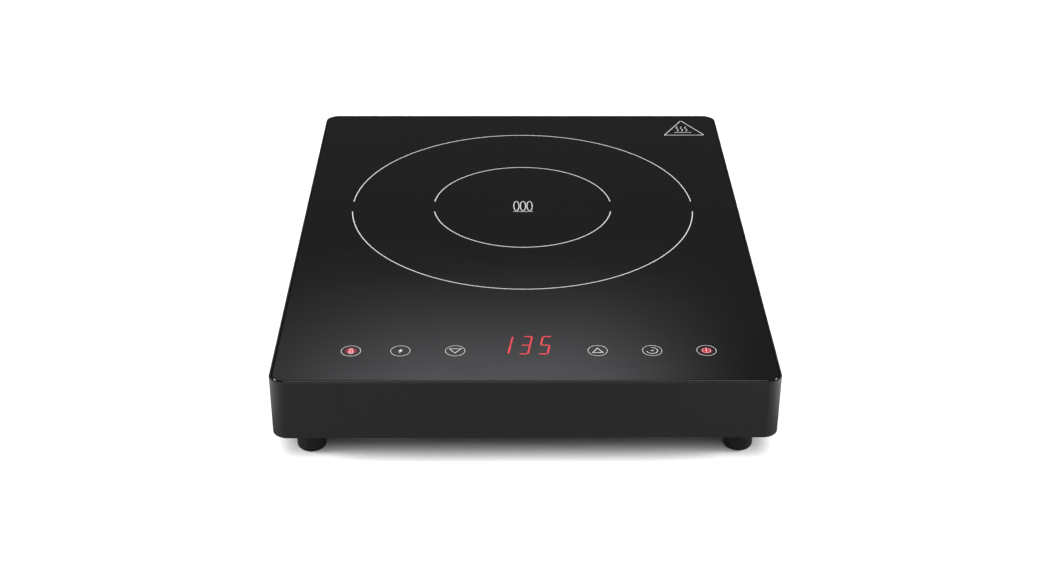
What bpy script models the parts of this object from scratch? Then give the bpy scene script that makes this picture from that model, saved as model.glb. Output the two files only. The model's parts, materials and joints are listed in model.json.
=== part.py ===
"""Countertop induction hob, modelled as the separate pieces it comes apart into on a bench.

Run with: blender --background --python part.py, or from Blender's text editor.
The hob stands on its four feet at z = 0, centred on the origin, with its controls towards -Y.
Every length is in metres and every angle in degrees, unless its name says otherwise.
"""

import math

import bmesh
import bpy
from mathutils import Matrix

# ---------------------------------------------------------------- driving dimensions

GAP = 0.0003  # clearance left between pieces that touch, seat in or pass through each other
OVER = 0.001  # how far a cutter runs past what it cuts

# Housing: a moulded ring, open below for the base plate and above for the glass
WIDTH = 0.290
DEPTH = 0.370
HEIGHT = 0.060
GROUND_CLEARANCE = 0.022
CORNER_RADIUS = 0.009
WALL = 0.0024
RIM_WALL = 0.0012
RIM_DROP = 0.0003  # rim edge below the glass surface
EDGE_ROUND = 0.0008
LEDGE_REACH = 0.010
LEDGE_THICKNESS = 0.0024
BOSS_RADIUS = 0.004
BOSS_FROM_WALL = 0.003
BOSS_FROM_END = 0.0041
GUSSET_THICKNESS = 0.002
WINDOW_RADIUS = 0.004
SHELF_REACH = 0.0066
SHELF_THICKNESS = 0.002
SHELF_END_MARGIN = 0.002

# Exhaust slots in the rear wall
SLOT_COUNT = 22
SLOT_PITCH = 0.008
SLOT_WIDTH = 0.0032
SLOT_HEIGHT = 0.020
SLOT_ROW_X = -0.026  # middle of the row

# Cord gland in its pocket, rear wall, on the right-hand side
GLAND_FROM_SIDE = 0.045
GLAND_HEIGHT = 0.038
POCKET_WIDTH = 0.026
POCKET_HEIGHT = 0.021
POCKET_DEPTH = 0.0078
POCKET_WALL = 0.002
CORD_BORE = 0.0082
GLAND_THREAD = 0.0124
GLAND_HEAD = 0.0170  # across the hexagon's corners
GLAND_HEAD_LENGTH = 0.0058
GLAND_COLLAR_RISE = 0.0012
LOCKNUT_CORNERS = 0.0190
LOCKNUT_LENGTH = 0.0045
THREAD_PAST_NUT = 0.0015

# Glass and its silicone bead
GLASS_THICKNESS = 0.004
GLASS_BEVEL = 0.0006
SEAL_THICKNESS = 0.0008
SEAL_WIDTH = 0.006
SEAL_INSET = 0.0015
SEAL_INNER_RADIUS = 0.003

# Base plate, its screws and the feet
PLATE_THICKNESS = 0.001
PLATE_INSET = 0.001
SCREW_RADIUS = 0.0014
SCREW_HEAD_RADIUS = 0.0031
SCREW_HEAD_HEIGHT = 0.0016
SCREW_LENGTH = 0.013
FOOT_INSET_X = 0.0195
FOOT_INSET_Y = 0.026
FOOT_RADIUS = 0.0092
FOOT_TAPER = 0.0007
FOOT_ROUND = 0.0022
FOOT_RECESS_RADIUS = 0.0042
FOOT_RECESS_DEPTH = 0.009
FOOT_SCREW_RADIUS = 0.0017
FOOT_SCREW_HEAD = 0.0035
FOOT_SCREW_HEAD_HEIGHT = 0.0020
FOOT_SCREW_PAST_PLATE = 0.0028
INTAKE_RADIUS = 0.030
INTAKE_SLOT_WIDTH = 0.0026
INTAKE_SLOT_PITCH = 0.0060

# Controls, measured from the front edge
CONTROL_BOARD_FROM_FRONT = 0.037  # to the board's middle
KEY_FROM_FRONT = 0.0338
KEY_X = (-0.1007, -0.0722, -0.0406, 0.0417, 0.0732, 0.1046)
DISPLAY_X = 0.0007
DISPLAY_FROM_FRONT = 0.0398
DISPLAY_WIDTH = 0.038
DISPLAY_DEPTH = 0.026
DISPLAY_CORNER = 0.0008
DISPLAY_AIR = 0.0006  # between the display's face and the glass
DIGIT_HEIGHT = 0.0190
DIGIT_WIDTH = 0.0066
DIGIT_PITCH = 0.0113
DIGIT_STROKE = 0.0014
DIGIT_SLANT = 8
SEGMENT_RECESS = 0.0005
CONTROL_BOARD_THICKNESS = 0.0016
CONTROL_BOARD_DEPTH = 0.034
CONTROL_BOARD_END_MARGIN = 0.012
SOLDERED = 0.0004  # how far a small part is sunk into its board
LAMP_WIDTH = 0.003
LAMP_DEPTH = 0.002
LAMP_HEIGHT = 0.001
SOCKET_WALLS = 0.003  # how much wider a ribbon socket is than its ribbon
SOCKET_DEPTH = 0.005
SOCKET_HEIGHT = 0.0018
SOCKET_FROM_EDGE = 0.006
SPRING_HEIGHT = 0.0052
SPRING_BASE_RADIUS = 0.0042
SPRING_TOP_RADIUS = 0.0056
SPRING_WIRE = 0.00035
SPRING_TURNS = 3
SPRING_POINTS_PER_TURN = 6
TRAY_FLOOR = 0.0012
TRAY_WALL = 0.0015
TRAY_CORNER = 0.002
TRAY_PAD_HEIGHT = 0.0014
TRAY_PAD_RADIUS = 0.0025
TRAY_PAD_FROM_END = 0.005
TRAY_PAD_FROM_EDGE = 0.004
RIBBON_WIDTH = 0.014
RIBBON_THICKNESS = 0.0007
RIBBON_X = 0.031
RIBBON_RISE = 0.0030  # above the control board
RIBBON_BEND = 0.0035
RIBBON_BEND_DROP = 0.004
RIBBON_END_RISE = 0.0065  # above the power board

# Coil stack, hung on three posts under the glass
COIL_FROM_REAR = 0.1504
COIL_INNER = 0.030
COIL_PITCH = 0.0050
COIL_TURNS = 11
COIL_POINTS_PER_TURN = 12
COIL_START = -55
WIRE_RADIUS = 0.0015
MICA_THICKNESS = 0.0005
MICA_BORDER = 0.0035  # beyond the winding
MICA_HOLE = 0.0105
FORMER_THICKNESS = 0.002
FORMER_BORDER = 0.0025
FORMER_HOLE_BORDER = 0.004  # from the hole to the winding
FORMER_RING = 0.0055
FORMER_RIB = 0.0012
FORMER_RIB_DROP = 0.001
WINDOW_HALF_ANGLE = 15
FERRITE_COUNT = 6
FERRITE_WIDTH = 0.012
FERRITE_HEIGHT = 0.005
FERRITE_BORDER = 0.004  # from the winding's first turn to the bar
FERRITE_OUTER_BORDER = 0.003
FERRITE_CORNER = 0.001
RIB_END_MARGIN = 0.002
SUPPORT_THICKNESS = 0.0012
SUPPORT_BORDER = 0.0015
SUPPORT_HOLE = 0.010
SUPPORT_VENT_RADIUS = 0.013
POST_FROM_EDGE = 0.0075
POST_RADIUS = 0.0045
SPIGOT_RADIUS = 0.0017
SPIGOT_RISE = 0.0014
SPIGOT_ROOT = 0.002
LEAD_HOLE_BORDER = 0.0055  # from the former's hole to the middle of the lead's hole
LEAD_HOLE = 0.0028
LEAD_JOINT = 0.0014  # along the wire, from the winding's end to its sleeved lead
LEAD_BELOW_SUPPORT = 0.004
LEAD_TO_LUG = 0.008  # the height over which a lead comes straight down to its lug
CAP_FLANGE = 0.0150
CAP_FLANGE_THICKNESS = 0.0014
CAP_RADIUS = 0.0080
CAP_ROUND = 0.0015
CAP_BORE = 0.0032
CAP_TOP = 0.004  # thickness above the sensor

# Power board, along the front right, and what stands on it
BOARD_THICKNESS = 0.0016
BOARD_RISE = 0.0045  # its underside above the base plate
BOARD_FROM_SIDE = 0.0176
BOARD_FROM_FRONT = 0.024
BOARD_DEPTH = 0.096
BOARD_CORNER = 0.0015
BOARD_TO_BLOWER = 0.006
STAND_OFF_RADIUS = 0.0028
STAND_OFF_INSET = 0.006
SINK_LENGTH = 0.074
SINK_DEPTH = 0.030
SINK_HEIGHT = 0.021
SINK_BASE = 0.004
SINK_FINS = 7
SINK_FIN = 0.0013
SINK_FROM_LEFT = 0.004
SINK_FROM_BACK = 0.002
PACKAGE_THICKNESS = 0.0048
PACKAGE_LEG = 0.003
PACKAGE_BOLT_RADIUS = 0.0018
IGBT_SIZE = (0.0158, 0.0190)  # width and height
RECTIFIER_SIZE = (0.0280, 0.0170)
IGBT_SHIFT = -0.020  # from the heatsink's middle
RECTIFIER_SHIFT = 0.018
LUG_WIDTH = 0.006
LUG_DEPTH = 0.004
LUG_PITCH = 0.012
LUG_HEIGHT = 0.006
LUG_FROM_SINK = 0.009
LUG_FROM_BACK = 0.005
POWER_SOCKET_HEIGHT = 0.0055
CONTROLLER_SIZE = 0.012
CONTROLLER_FROM_FRONT = 0.022
DRIVER_WIDTH = 0.005
DRIVER_DEPTH = 0.004
DRIVER_FROM_LEFT = (0.020, 0.029)
DRIVER_FROM_FRONT = 0.012
CHIP_HEIGHT = 0.0015
BUZZER_RADIUS = 0.0055
BUZZER_HEIGHT = 0.007
BUZZER_FROM_LEFT = 0.010
BUZZER_FROM_FRONT = 0.026
RESONANT_SIZE = (0.030, 0.013, 0.019)  # width, depth and height
RESONANT_SHIFT = -0.017  # from the heatsink's middle
RESONANT_BEFORE_SINK = 0.018
SMOOTHING_SIZE = (0.028, 0.012, 0.017)
SMOOTHING_FROM_RIGHT = 0.036
SMOOTHING_BEFORE_SINK = 0.023
TRANSFORMER_SIZE = (0.020, 0.016, 0.0125)
TRANSFORMER_FROM_RIGHT = 0.018
TRANSFORMER_FROM_FRONT = 0.014
BOBBIN_WIDTH = 0.014
BOBBIN_DEPTH = 0.022
BOBBIN_LOW = 0.002
BOBBIN_HIGH = 0.0105
TERMINAL_BLOCK_SIZE = (0.020, 0.010, 0.011)
TERMINAL_BLOCK_FROM_RIGHT = 0.012
TERMINAL_BLOCK_FROM_BACK = 0.008
TERMINAL_WELL_RADIUS = 0.0019
TERMINAL_WELL_DEPTH = 0.004
TERMINAL_WELL_PITCH = 0.0062
CHOKE_RADIUS = 0.0100
CHOKE_SECTION = 0.0042
CHOKE_WOUND = 1.08  # the section's swell where wire covers the core
CHOKE_RIDGE = 1.22
CHOKE_BARE = 0.86
CHOKE_FROM_RIGHT = 0.020
CHOKE_BEHIND_SINK_FRONT = 0.002

# Blower, front left, with its wheel turning about an upright axis
BLOWER_FROM_WALL = 0.0065
BLOWER_FROM_FRONT = 0.077
BLOWER_BELOW_TRAY = 0.0005
BLOWER_WALL = 0.0015
BLOWER_FLOOR = 0.0013
BLOWER_LID = 0.0014
SCROLL_CLEARANCE = 0.0035  # between the wheel and the scroll at the tongue
SCROLL_GROWTH = 0.010  # from the tongue round to the outlet
SCROLL_STEPS = 20
TONGUE_Y = 0.011
OUTLET_REACH = 0.0045  # past the scroll's far side
WHEEL_RADIUS = 0.031
WHEEL_DISC = 0.0012
WHEEL_RING_WIDTH = 0.0024
WHEEL_ABOVE_FLOOR = 0.0008
WHEEL_BELOW_LID = 0.0012
BLADE_COUNT = 24
BLADE_LENGTH = 0.0062
BLADE_FROM_RIM = 0.0008
BLADE_THICKNESS = 0.0007
INLET_INSIDE_BLADES = 0.0015
BLADE_INLET_ANGLE = 35  # between the blade and the circle it starts on
BLADE_OUTLET_ANGLE = 150
BLADE_STEPS = 3
HUB_RADIUS = 0.0132
HUB_WALL = 0.0011
HUB_RISE = 0.0018  # the hub's floor above the blades' lower end
HUB_BOSS_HEIGHT = 0.0018
SHAFT_RADIUS = 0.00125
SHAFT_SOCKET_FLOOR = 0.0007
TUBE_RADIUS = 0.0029
TUBE_ABOVE_BOSS = 0.001
STATOR_RADIUS = 0.0112
STATOR_HEIGHT = 0.0065
STATOR_POLES = 4
STATOR_ABOVE_TUBE_END = 0.0008
POLE_NECK_ANGLE = 18
POLE_WAIST = 0.72  # of the radius
POLE_HEAD = 0.38  # half a pole's share of the circle

# ---------------------------------------------------------------- worked out from the above

INNER_HALF_WIDTH = WIDTH / 2 - WALL
INNER_HALF_DEPTH = DEPTH / 2 - WALL
FRONT = -DEPTH / 2
RIM_TOP = HEIGHT - RIM_DROP
GLASS_UNDERSIDE = HEIGHT - GLASS_THICKNESS
LEDGE_TOP = GLASS_UNDERSIDE - SEAL_THICKNESS - 2 * GAP
LEDGE_UNDERSIDE = LEDGE_TOP - LEDGE_THICKNESS
CEILING = GLASS_UNDERSIDE - GAP

PLATE_UNDERSIDE = GROUND_CLEARANCE + PLATE_INSET
PLATE_TOP = PLATE_UNDERSIDE + PLATE_THICKNESS
DECK = PLATE_TOP + GAP  # where pieces that stand on the base plate begin

BOSS_X = INNER_HALF_WIDTH - BOSS_FROM_WALL - BOSS_RADIUS
BOSS_Y = INNER_HALF_DEPTH - BOSS_FROM_END - BOSS_RADIUS
BOSS_PLACES = [(side * BOSS_X, row * BOSS_Y) for side in (-1, 1) for row in (-1, 0, 1)]
FOOT_X = WIDTH / 2 - FOOT_INSET_X
FOOT_Y = DEPTH / 2 - FOOT_INSET_Y
FOOT_PLACES = [(side * FOOT_X, row * FOOT_Y) for row in (-1, 1) for side in (-1, 1)]
GLAND_X = WIDTH / 2 - GLAND_FROM_SIDE
POCKET_FLOOR = DEPTH / 2 - POCKET_DEPTH

KEY_Y = FRONT + KEY_FROM_FRONT
DISPLAY_Y = FRONT + DISPLAY_FROM_FRONT
CONTROL_TOP = CEILING - SPRING_HEIGHT - GAP
CONTROL_UNDERSIDE = CONTROL_TOP - CONTROL_BOARD_THICKNESS
CONTROL_Y = FRONT + CONTROL_BOARD_FROM_FRONT
CONTROL_WIDTH = WIDTH - 2 * WALL - 2 * CONTROL_BOARD_END_MARGIN
TRAY_TOP = CONTROL_TOP
TRAY_PAD_TOP = CONTROL_UNDERSIDE - GAP
TRAY_UNDERSIDE = TRAY_PAD_TOP - TRAY_PAD_HEIGHT - TRAY_FLOOR
TRAY_DEPTH = CONTROL_BOARD_DEPTH + 2 * (TRAY_WALL + 2 * GAP)
TRAY_WIDTH = 2 * (INNER_HALF_WIDTH - 2 * GAP)
SOCKET_Y = CONTROL_Y + CONTROL_BOARD_DEPTH / 2 - SOCKET_FROM_EDGE

COIL_Y = DEPTH / 2 - COIL_FROM_REAR
MICA_UNDERSIDE = CEILING - MICA_THICKNESS
COIL_LEVEL = MICA_UNDERSIDE - GAP - WIRE_RADIUS  # middle of the wire
FORMER_TOP = COIL_LEVEL - WIRE_RADIUS - GAP
FORMER_UNDERSIDE = FORMER_TOP - FORMER_THICKNESS
FERRITE_TOP = FORMER_UNDERSIDE - GAP
FERRITE_UNDERSIDE = FERRITE_TOP - FERRITE_HEIGHT
SUPPORT_TOP = FERRITE_UNDERSIDE - GAP
SUPPORT_UNDERSIDE = SUPPORT_TOP - SUPPORT_THICKNESS
COIL_OUTER = COIL_INNER + COIL_PITCH * COIL_TURNS
MICA_RADIUS = COIL_OUTER + MICA_BORDER
FORMER_RADIUS = COIL_OUTER + FORMER_BORDER
FORMER_HOLE = COIL_INNER - FORMER_HOLE_BORDER
FERRITE_START = COIL_INNER + FERRITE_BORDER
FERRITE_LENGTH = COIL_OUTER - FERRITE_OUTER_BORDER - FERRITE_START
FERRITE_MIDDLE = FERRITE_START + FERRITE_LENGTH / 2
FERRITE_SPREAD = 360 / FERRITE_COUNT
SUPPORT_RADIUS = COIL_OUTER + SUPPORT_BORDER
SUPPORT_VENT_CIRCLE = (COIL_INNER + COIL_OUTER) / 2
POST_CIRCLE = SUPPORT_RADIUS - POST_FROM_EDGE
LEAD_HOLE_CIRCLE = FORMER_HOLE - LEAD_HOLE_BORDER

SCROLL_START = WHEEL_RADIUS + SCROLL_CLEARANCE
SCROLL_END = SCROLL_START + SCROLL_GROWTH
OUTLET_X = SCROLL_END + OUTLET_REACH
BLADE_OUTER = WHEEL_RADIUS - BLADE_FROM_RIM
BLADE_INNER = BLADE_OUTER - BLADE_LENGTH
INLET_RADIUS = BLADE_INNER - INLET_INSIDE_BLADES
BLOWER_X = -INNER_HALF_WIDTH + BLOWER_FROM_WALL + SCROLL_END + BLOWER_WALL
BLOWER_Y = FRONT + BLOWER_FROM_FRONT
LID_TOP = TRAY_UNDERSIDE - BLOWER_BELOW_TRAY
LID_UNDERSIDE = LID_TOP - BLOWER_LID
CASE_TOP = LID_UNDERSIDE - GAP
WHEEL_BOTTOM = DECK + BLOWER_FLOOR + WHEEL_ABOVE_FLOOR
WHEEL_TOP = LID_UNDERSIDE - WHEEL_BELOW_LID
HUB_BOTTOM = WHEEL_BOTTOM + HUB_RISE
HUB_FLOOR_TOP = HUB_BOTTOM + HUB_WALL
TUBE_BOTTOM = HUB_FLOOR_TOP + HUB_BOSS_HEIGHT + TUBE_ABOVE_BOSS

BOARD_LEFT = BLOWER_X + OUTLET_X + BOARD_TO_BLOWER
BOARD_RIGHT = INNER_HALF_WIDTH - BOARD_FROM_SIDE
BOARD_FRONT = FRONT + BOARD_FROM_FRONT
BOARD_BACK = BOARD_FRONT + BOARD_DEPTH
BOARD_UNDERSIDE = DECK + BOARD_RISE
BOARD_TOP = BOARD_UNDERSIDE + BOARD_THICKNESS
ON_BOARD = BOARD_TOP + GAP
SINK_X = BOARD_LEFT + SINK_FROM_LEFT + SINK_LENGTH / 2
SINK_FRONT = BOARD_BACK - SINK_FROM_BACK - SINK_DEPTH
LUG_X = (SINK_X + SINK_LENGTH / 2 + LUG_FROM_SINK, SINK_X + SINK_LENGTH / 2 + LUG_FROM_SINK + LUG_PITCH)
LUG_Y = BOARD_BACK - LUG_FROM_BACK
LUG_TOP = ON_BOARD + LUG_HEIGHT

# ---------------------------------------------------------------- scene and materials


def make_collection(name):
    """A new collection under the scene's own."""
    collection = bpy.data.collections.new(name)
    bpy.context.scene.collection.children.link(collection)
    return collection


def linear(channel):
    """An sRGB channel, 0 to 1, as Blender's linear value."""
    return channel / 12.92 if channel <= 0.04045 else ((channel + 0.055) / 1.055) ** 2.4


def make_material(name, colour, roughness, metallic=0.0):
    """A Principled material from a colour written as six hex digits."""
    material = bpy.data.materials.new(name)
    material.use_nodes = True
    shader = material.node_tree.nodes["Principled BSDF"]
    channels = [linear(int(colour[i : i + 2], 16) / 255) for i in (0, 2, 4)]
    shader.inputs["Base Color"].default_value = (*channels, 1.0)
    shader.inputs["Roughness"].default_value = roughness
    shader.inputs["Metallic"].default_value = metallic
    material.diffuse_color = (*channels, 1.0)
    return material


for startup_object in list(bpy.data.objects):
    bpy.data.objects.remove(startup_object, do_unlink=True)

PARTS = make_collection("induction_hob")
CUTTERS = make_collection("cutters")

BLACK_MOULDING = make_material("black_moulding", "29292A", 0.42)
BLACK_GLASS = make_material("black_glass", "141416", 0.06)
SILICONE = make_material("black_silicone", "17171A", 0.75)
ZINC_SHEET = make_material("zinc_sheet", "A9ADB1", 0.38, 1.0)
STEEL_SCREW = make_material("steel_screw", "B9BCC0", 0.30, 1.0)
RUBBER = make_material("black_rubber", "1E1E20", 0.80)
NYLON = make_material("black_nylon", "202022", 0.55)
TRAY_PLASTIC = make_material("tray_plastic", "D9D7CF", 0.50)
CIRCUIT_BOARD = make_material("circuit_board", "2E5B3C", 0.45)
DISPLAY_PLASTIC = make_material("display_plastic", "3A2A2C", 0.35)
SPRING_STEEL = make_material("spring_steel", "C9C6BE", 0.25, 1.0)
RIBBON_PLASTIC = make_material("ribbon_plastic", "B8B8B4", 0.55)
MICA = make_material("mica", "B59B6B", 0.50)
COPPER_LITZ = make_material("copper_litz", "B06A3B", 0.45, 1.0)
FORMER_PLASTIC = make_material("former_plastic", "33312E", 0.60)
FERRITE = make_material("ferrite", "3B3B3E", 0.65)
ALUMINIUM = make_material("aluminium", "C4C7CA", 0.35, 1.0)
POST_NYLON = make_material("post_nylon", "E4E1D6", 0.50)
CAP_SILICONE = make_material("cap_silicone", "C9C3B8", 0.65)
EPOXY = make_material("black_epoxy", "1B1B1D", 0.50)
FILM_CAPACITOR = make_material("film_capacitor", "D8C24A", 0.45)
SUPPRESSOR = make_material("suppressor_capacitor", "8E2F2A", 0.45)
TERMINAL_GREEN = make_material("terminal_plastic", "3F7F4C", 0.50)
LAMINATION = make_material("lamination", "6F7277", 0.45, 1.0)
LEAD_SLEEVE = make_material("lead_sleeve", "D9D5CB", 0.60)

# ---------------------------------------------------------------- shapes, as bmeshes


def moved(shape, x=0.0, y=0.0, z=0.0):
    """The shape, shifted."""
    bmesh.ops.translate(shape, verts=shape.verts, vec=(x, y, z))
    return shape


def turned_about_z(shape, degrees, centre=(0.0, 0.0)):
    """The shape, turned about an upright line through centre."""
    matrix = Matrix.Rotation(math.radians(degrees), 3, "Z")
    bmesh.ops.rotate(shape, verts=shape.verts, cent=(*centre, 0.0), matrix=matrix)
    return shape


def laid_along_y(shape):
    """The shape, with its upright axis laid over to point along +Y."""
    bmesh.ops.rotate(
        shape, verts=shape.verts, cent=(0, 0, 0), matrix=Matrix.Rotation(-math.pi / 2, 3, "X")
    )
    return shape


def is_upright(edge):
    """True for an edge that runs along z."""
    a, b = (vert.co for vert in edge.verts)
    return abs(a.x - b.x) < 1e-7 and abs(a.y - b.y) < 1e-7


def slab(width, depth, low, high, radius=0.0, centre=(0.0, 0.0), steps=6):
    """An upright block from z = low to high, its four upright edges rounded to radius."""
    shape = bmesh.new()
    bmesh.ops.create_cube(shape, size=1.0)
    bmesh.ops.scale(shape, verts=shape.verts, vec=(width, depth, high - low))
    if radius > 0:
        upright = [edge for edge in shape.edges if is_upright(edge)]
        bmesh.ops.bevel(
            shape, geom=upright, offset=radius, segments=steps, profile=0.5, affect="EDGES"
        )
    return moved(shape, centre[0], centre[1], (low + high) / 2)


def bevel_level(shape, level, width, steps=1):
    """Bevels the edges that lie at one height."""
    edges = [edge for edge in shape.edges if all(abs(v.co.z - level) < 1e-7 for v in edge.verts)]
    bmesh.ops.bevel(shape, geom=edges, offset=width, segments=steps, profile=0.5, affect="EDGES")
    return shape


def rod(radius, low, high, centre=(0.0, 0.0), sides=20, top_radius=None):
    """An upright cylinder or, with a top_radius, a cone."""
    shape = bmesh.new()
    top = radius if top_radius is None else top_radius
    bmesh.ops.create_cone(
        shape, cap_ends=True, segments=sides, radius1=radius, radius2=top, depth=high - low
    )
    return moved(shape, centre[0], centre[1], (low + high) / 2)


def prism(outlines, low, high):
    """Flat outlines, the first one outside and the rest holes, filled and raised from low to high."""
    curve = bpy.data.curves.new("outline", "CURVE")
    curve.dimensions = "2D"
    curve.fill_mode = "BOTH"
    curve.extrude = (high - low) / 2
    for outline in outlines:
        spline = curve.splines.new("POLY")
        spline.points.add(len(outline) - 1)
        for point, (x, y) in zip(spline.points, outline):
            point.co = (x, y, 0.0, 1.0)
        spline.use_cyclic_u = True
    guide = bpy.data.objects.new("outline", curve)
    CUTTERS.objects.link(guide)
    graph = bpy.context.evaluated_depsgraph_get()
    mesh = bpy.data.meshes.new_from_object(guide.evaluated_get(graph))
    shape = bmesh.new()
    shape.from_mesh(mesh)
    bmesh.ops.remove_doubles(shape, verts=shape.verts, dist=1e-6)
    bpy.data.objects.remove(guide)
    bpy.data.curves.remove(curve)
    bpy.data.meshes.remove(mesh)
    return moved(shape, z=(low + high) / 2)


def together(shapes):
    """One bmesh that holds all the shapes, as separate bodies."""
    whole = bmesh.new()
    for shape in shapes:
        mesh = bpy.data.meshes.new("shape")
        shape.to_mesh(mesh)
        shape.free()
        whole.from_mesh(mesh)
        bpy.data.meshes.remove(mesh)
    return whole


def polar(radius, degrees, z=0.0, centre=(0.0, 0.0)):
    """A point at a radius and an angle about centre."""
    angle = math.radians(degrees)
    return (centre[0] + radius * math.cos(angle), centre[1] + radius * math.sin(angle), z)


def arc(radius, start, end, steps, centre=(0.0, 0.0)):
    """Flat points along a circular arc, both ends included."""
    angles = [start + (end - start) * i / steps for i in range(steps + 1)]
    return [polar(radius, angle, 0.0, centre)[:2] for angle in angles]


# ---------------------------------------------------------------- objects


def finish_mesh(mesh, material, sharp_from=30):
    """Gives a mesh its material, smooth shading and sharp edges."""
    mesh.materials.append(material)
    if mesh.polygons:
        mesh.shade_smooth()
        mesh.set_sharp_from_angle(angle=math.radians(sharp_from))


def add_piece(name, shape, material, location=(0.0, 0.0, 0.0), rotation=(0.0, 0.0, 0.0)):
    """A part of the hob from a bmesh in the part's own frame."""
    mesh = bpy.data.meshes.new(name)
    bmesh.ops.recalc_face_normals(shape, faces=shape.faces)
    shape.to_mesh(mesh)
    shape.free()
    finish_mesh(mesh, material)
    piece = bpy.data.objects.new(name, mesh)
    piece.location = location
    piece.rotation_euler = rotation
    PARTS.objects.link(piece)
    return piece


def combine(piece, label, shapes, operation):
    """Adds a Boolean whose helper holds shapes in the piece's own frame."""
    helper_mesh = bpy.data.meshes.new(f"{piece.name}_{label}")
    helper_shape = together(shapes)
    bmesh.ops.recalc_face_normals(helper_shape, faces=helper_shape.faces)
    helper_shape.to_mesh(helper_mesh)
    helper_shape.free()
    helper = bpy.data.objects.new(helper_mesh.name, helper_mesh)
    helper.location = piece.location
    helper.rotation_euler = piece.rotation_euler
    helper.hide_render = True
    helper.display_type = "WIRE"
    CUTTERS.objects.link(helper)
    modifier = piece.modifiers.new(label, "BOOLEAN")
    modifier.operation = operation
    modifier.solver = "EXACT"
    modifier.object = helper


def cut(piece, label, shapes):
    """Cuts the shapes, which don't overlap each other, from the piece."""
    combine(piece, label, shapes, "DIFFERENCE")


def fuse(piece, label, shapes):
    """Joins the shapes, which don't overlap each other, to the piece."""
    combine(piece, label, shapes, "UNION")


def add_turned(name, profile, material, location=(0.0, 0.0, 0.0), steps=24, ring=False):
    """A piece turned about the upright axis at its location.

    The profile's (radius, height) points start at the top and run down the outer side. A ring's
    profile closes on itself, clear of the axis, and any other one has both ends on the axis.
    """
    mesh = bpy.data.meshes.new(name)
    points = [(radius, 0.0, height) for radius, height in profile]
    edges = [(i, i + 1) for i in range(len(points) - 1)]
    if ring:
        edges.append((len(points) - 1, 0))
    mesh.from_pydata(points, edges, [])
    mesh.materials.append(material)
    piece = bpy.data.objects.new(name, mesh)
    piece.location = location
    PARTS.objects.link(piece)
    screw = piece.modifiers.new("Turn", "SCREW")
    screw.steps = steps
    screw.render_steps = steps
    screw.use_smooth_shade = True
    screw.use_merge_vertices = True
    screw.merge_threshold = 1e-5
    return piece


def add_wire(name, points, radius, material, resolution=1):
    """A wire along the points, with closed ends."""
    curve = bpy.data.curves.new(name, "CURVE")
    curve.dimensions = "3D"
    curve.bevel_depth = radius
    curve.bevel_resolution = resolution
    curve.use_fill_caps = True
    spline = curve.splines.new("POLY")
    spline.points.add(len(points) - 1)
    for point, place in zip(spline.points, points):
        point.co = (*place, 1.0)
    curve.materials.append(material)
    piece = bpy.data.objects.new(name, curve)
    PARTS.objects.link(piece)
    return piece


def smooth_path(places, steps):
    """Points along a Catmull-Rom curve through the places."""
    ends = [places[0], *places, places[-1]]
    path = []
    for before, start, end, after in zip(ends, ends[1:], ends[2:], ends[3:]):
        for i in range(steps):
            t = i / steps
            path.append(
                tuple(
                    0.5 * (2 * b + (c - a) * t + (2 * a - 5 * b + 4 * c - d) * t**2
                           + (3 * b - a - 3 * c + d) * t**3)
                    for a, b, c, d in zip(before, start, end, after)
                )
            )
    return [*path, tuple(places[-1])]


# ---------------------------------------------------------------- outer casing


def gusset(x, y):
    """A web from a boss out to the side wall, sunk a little into both."""
    side = math.copysign(1.0, x)
    inner, outer = x, side * (INNER_HALF_WIDTH + WALL / 3)
    return slab(
        abs(outer - inner), GUSSET_THICKNESS, DECK, LEDGE_UNDERSIDE + LEDGE_THICKNESS / 3,
        centre=((inner + outer) / 2, y),
    )


def tray_shelf(side):
    """A shelf on the side wall that carries one end of the control tray."""
    outer = INNER_HALF_WIDTH + WALL / 3
    inner = INNER_HALF_WIDTH - SHELF_REACH
    top = TRAY_UNDERSIDE - GAP
    return slab(
        outer - inner, TRAY_DEPTH - 2 * SHELF_END_MARGIN, top - SHELF_THICKNESS, top,
        centre=(side * (outer + inner) / 2, CONTROL_Y),
    )


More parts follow.
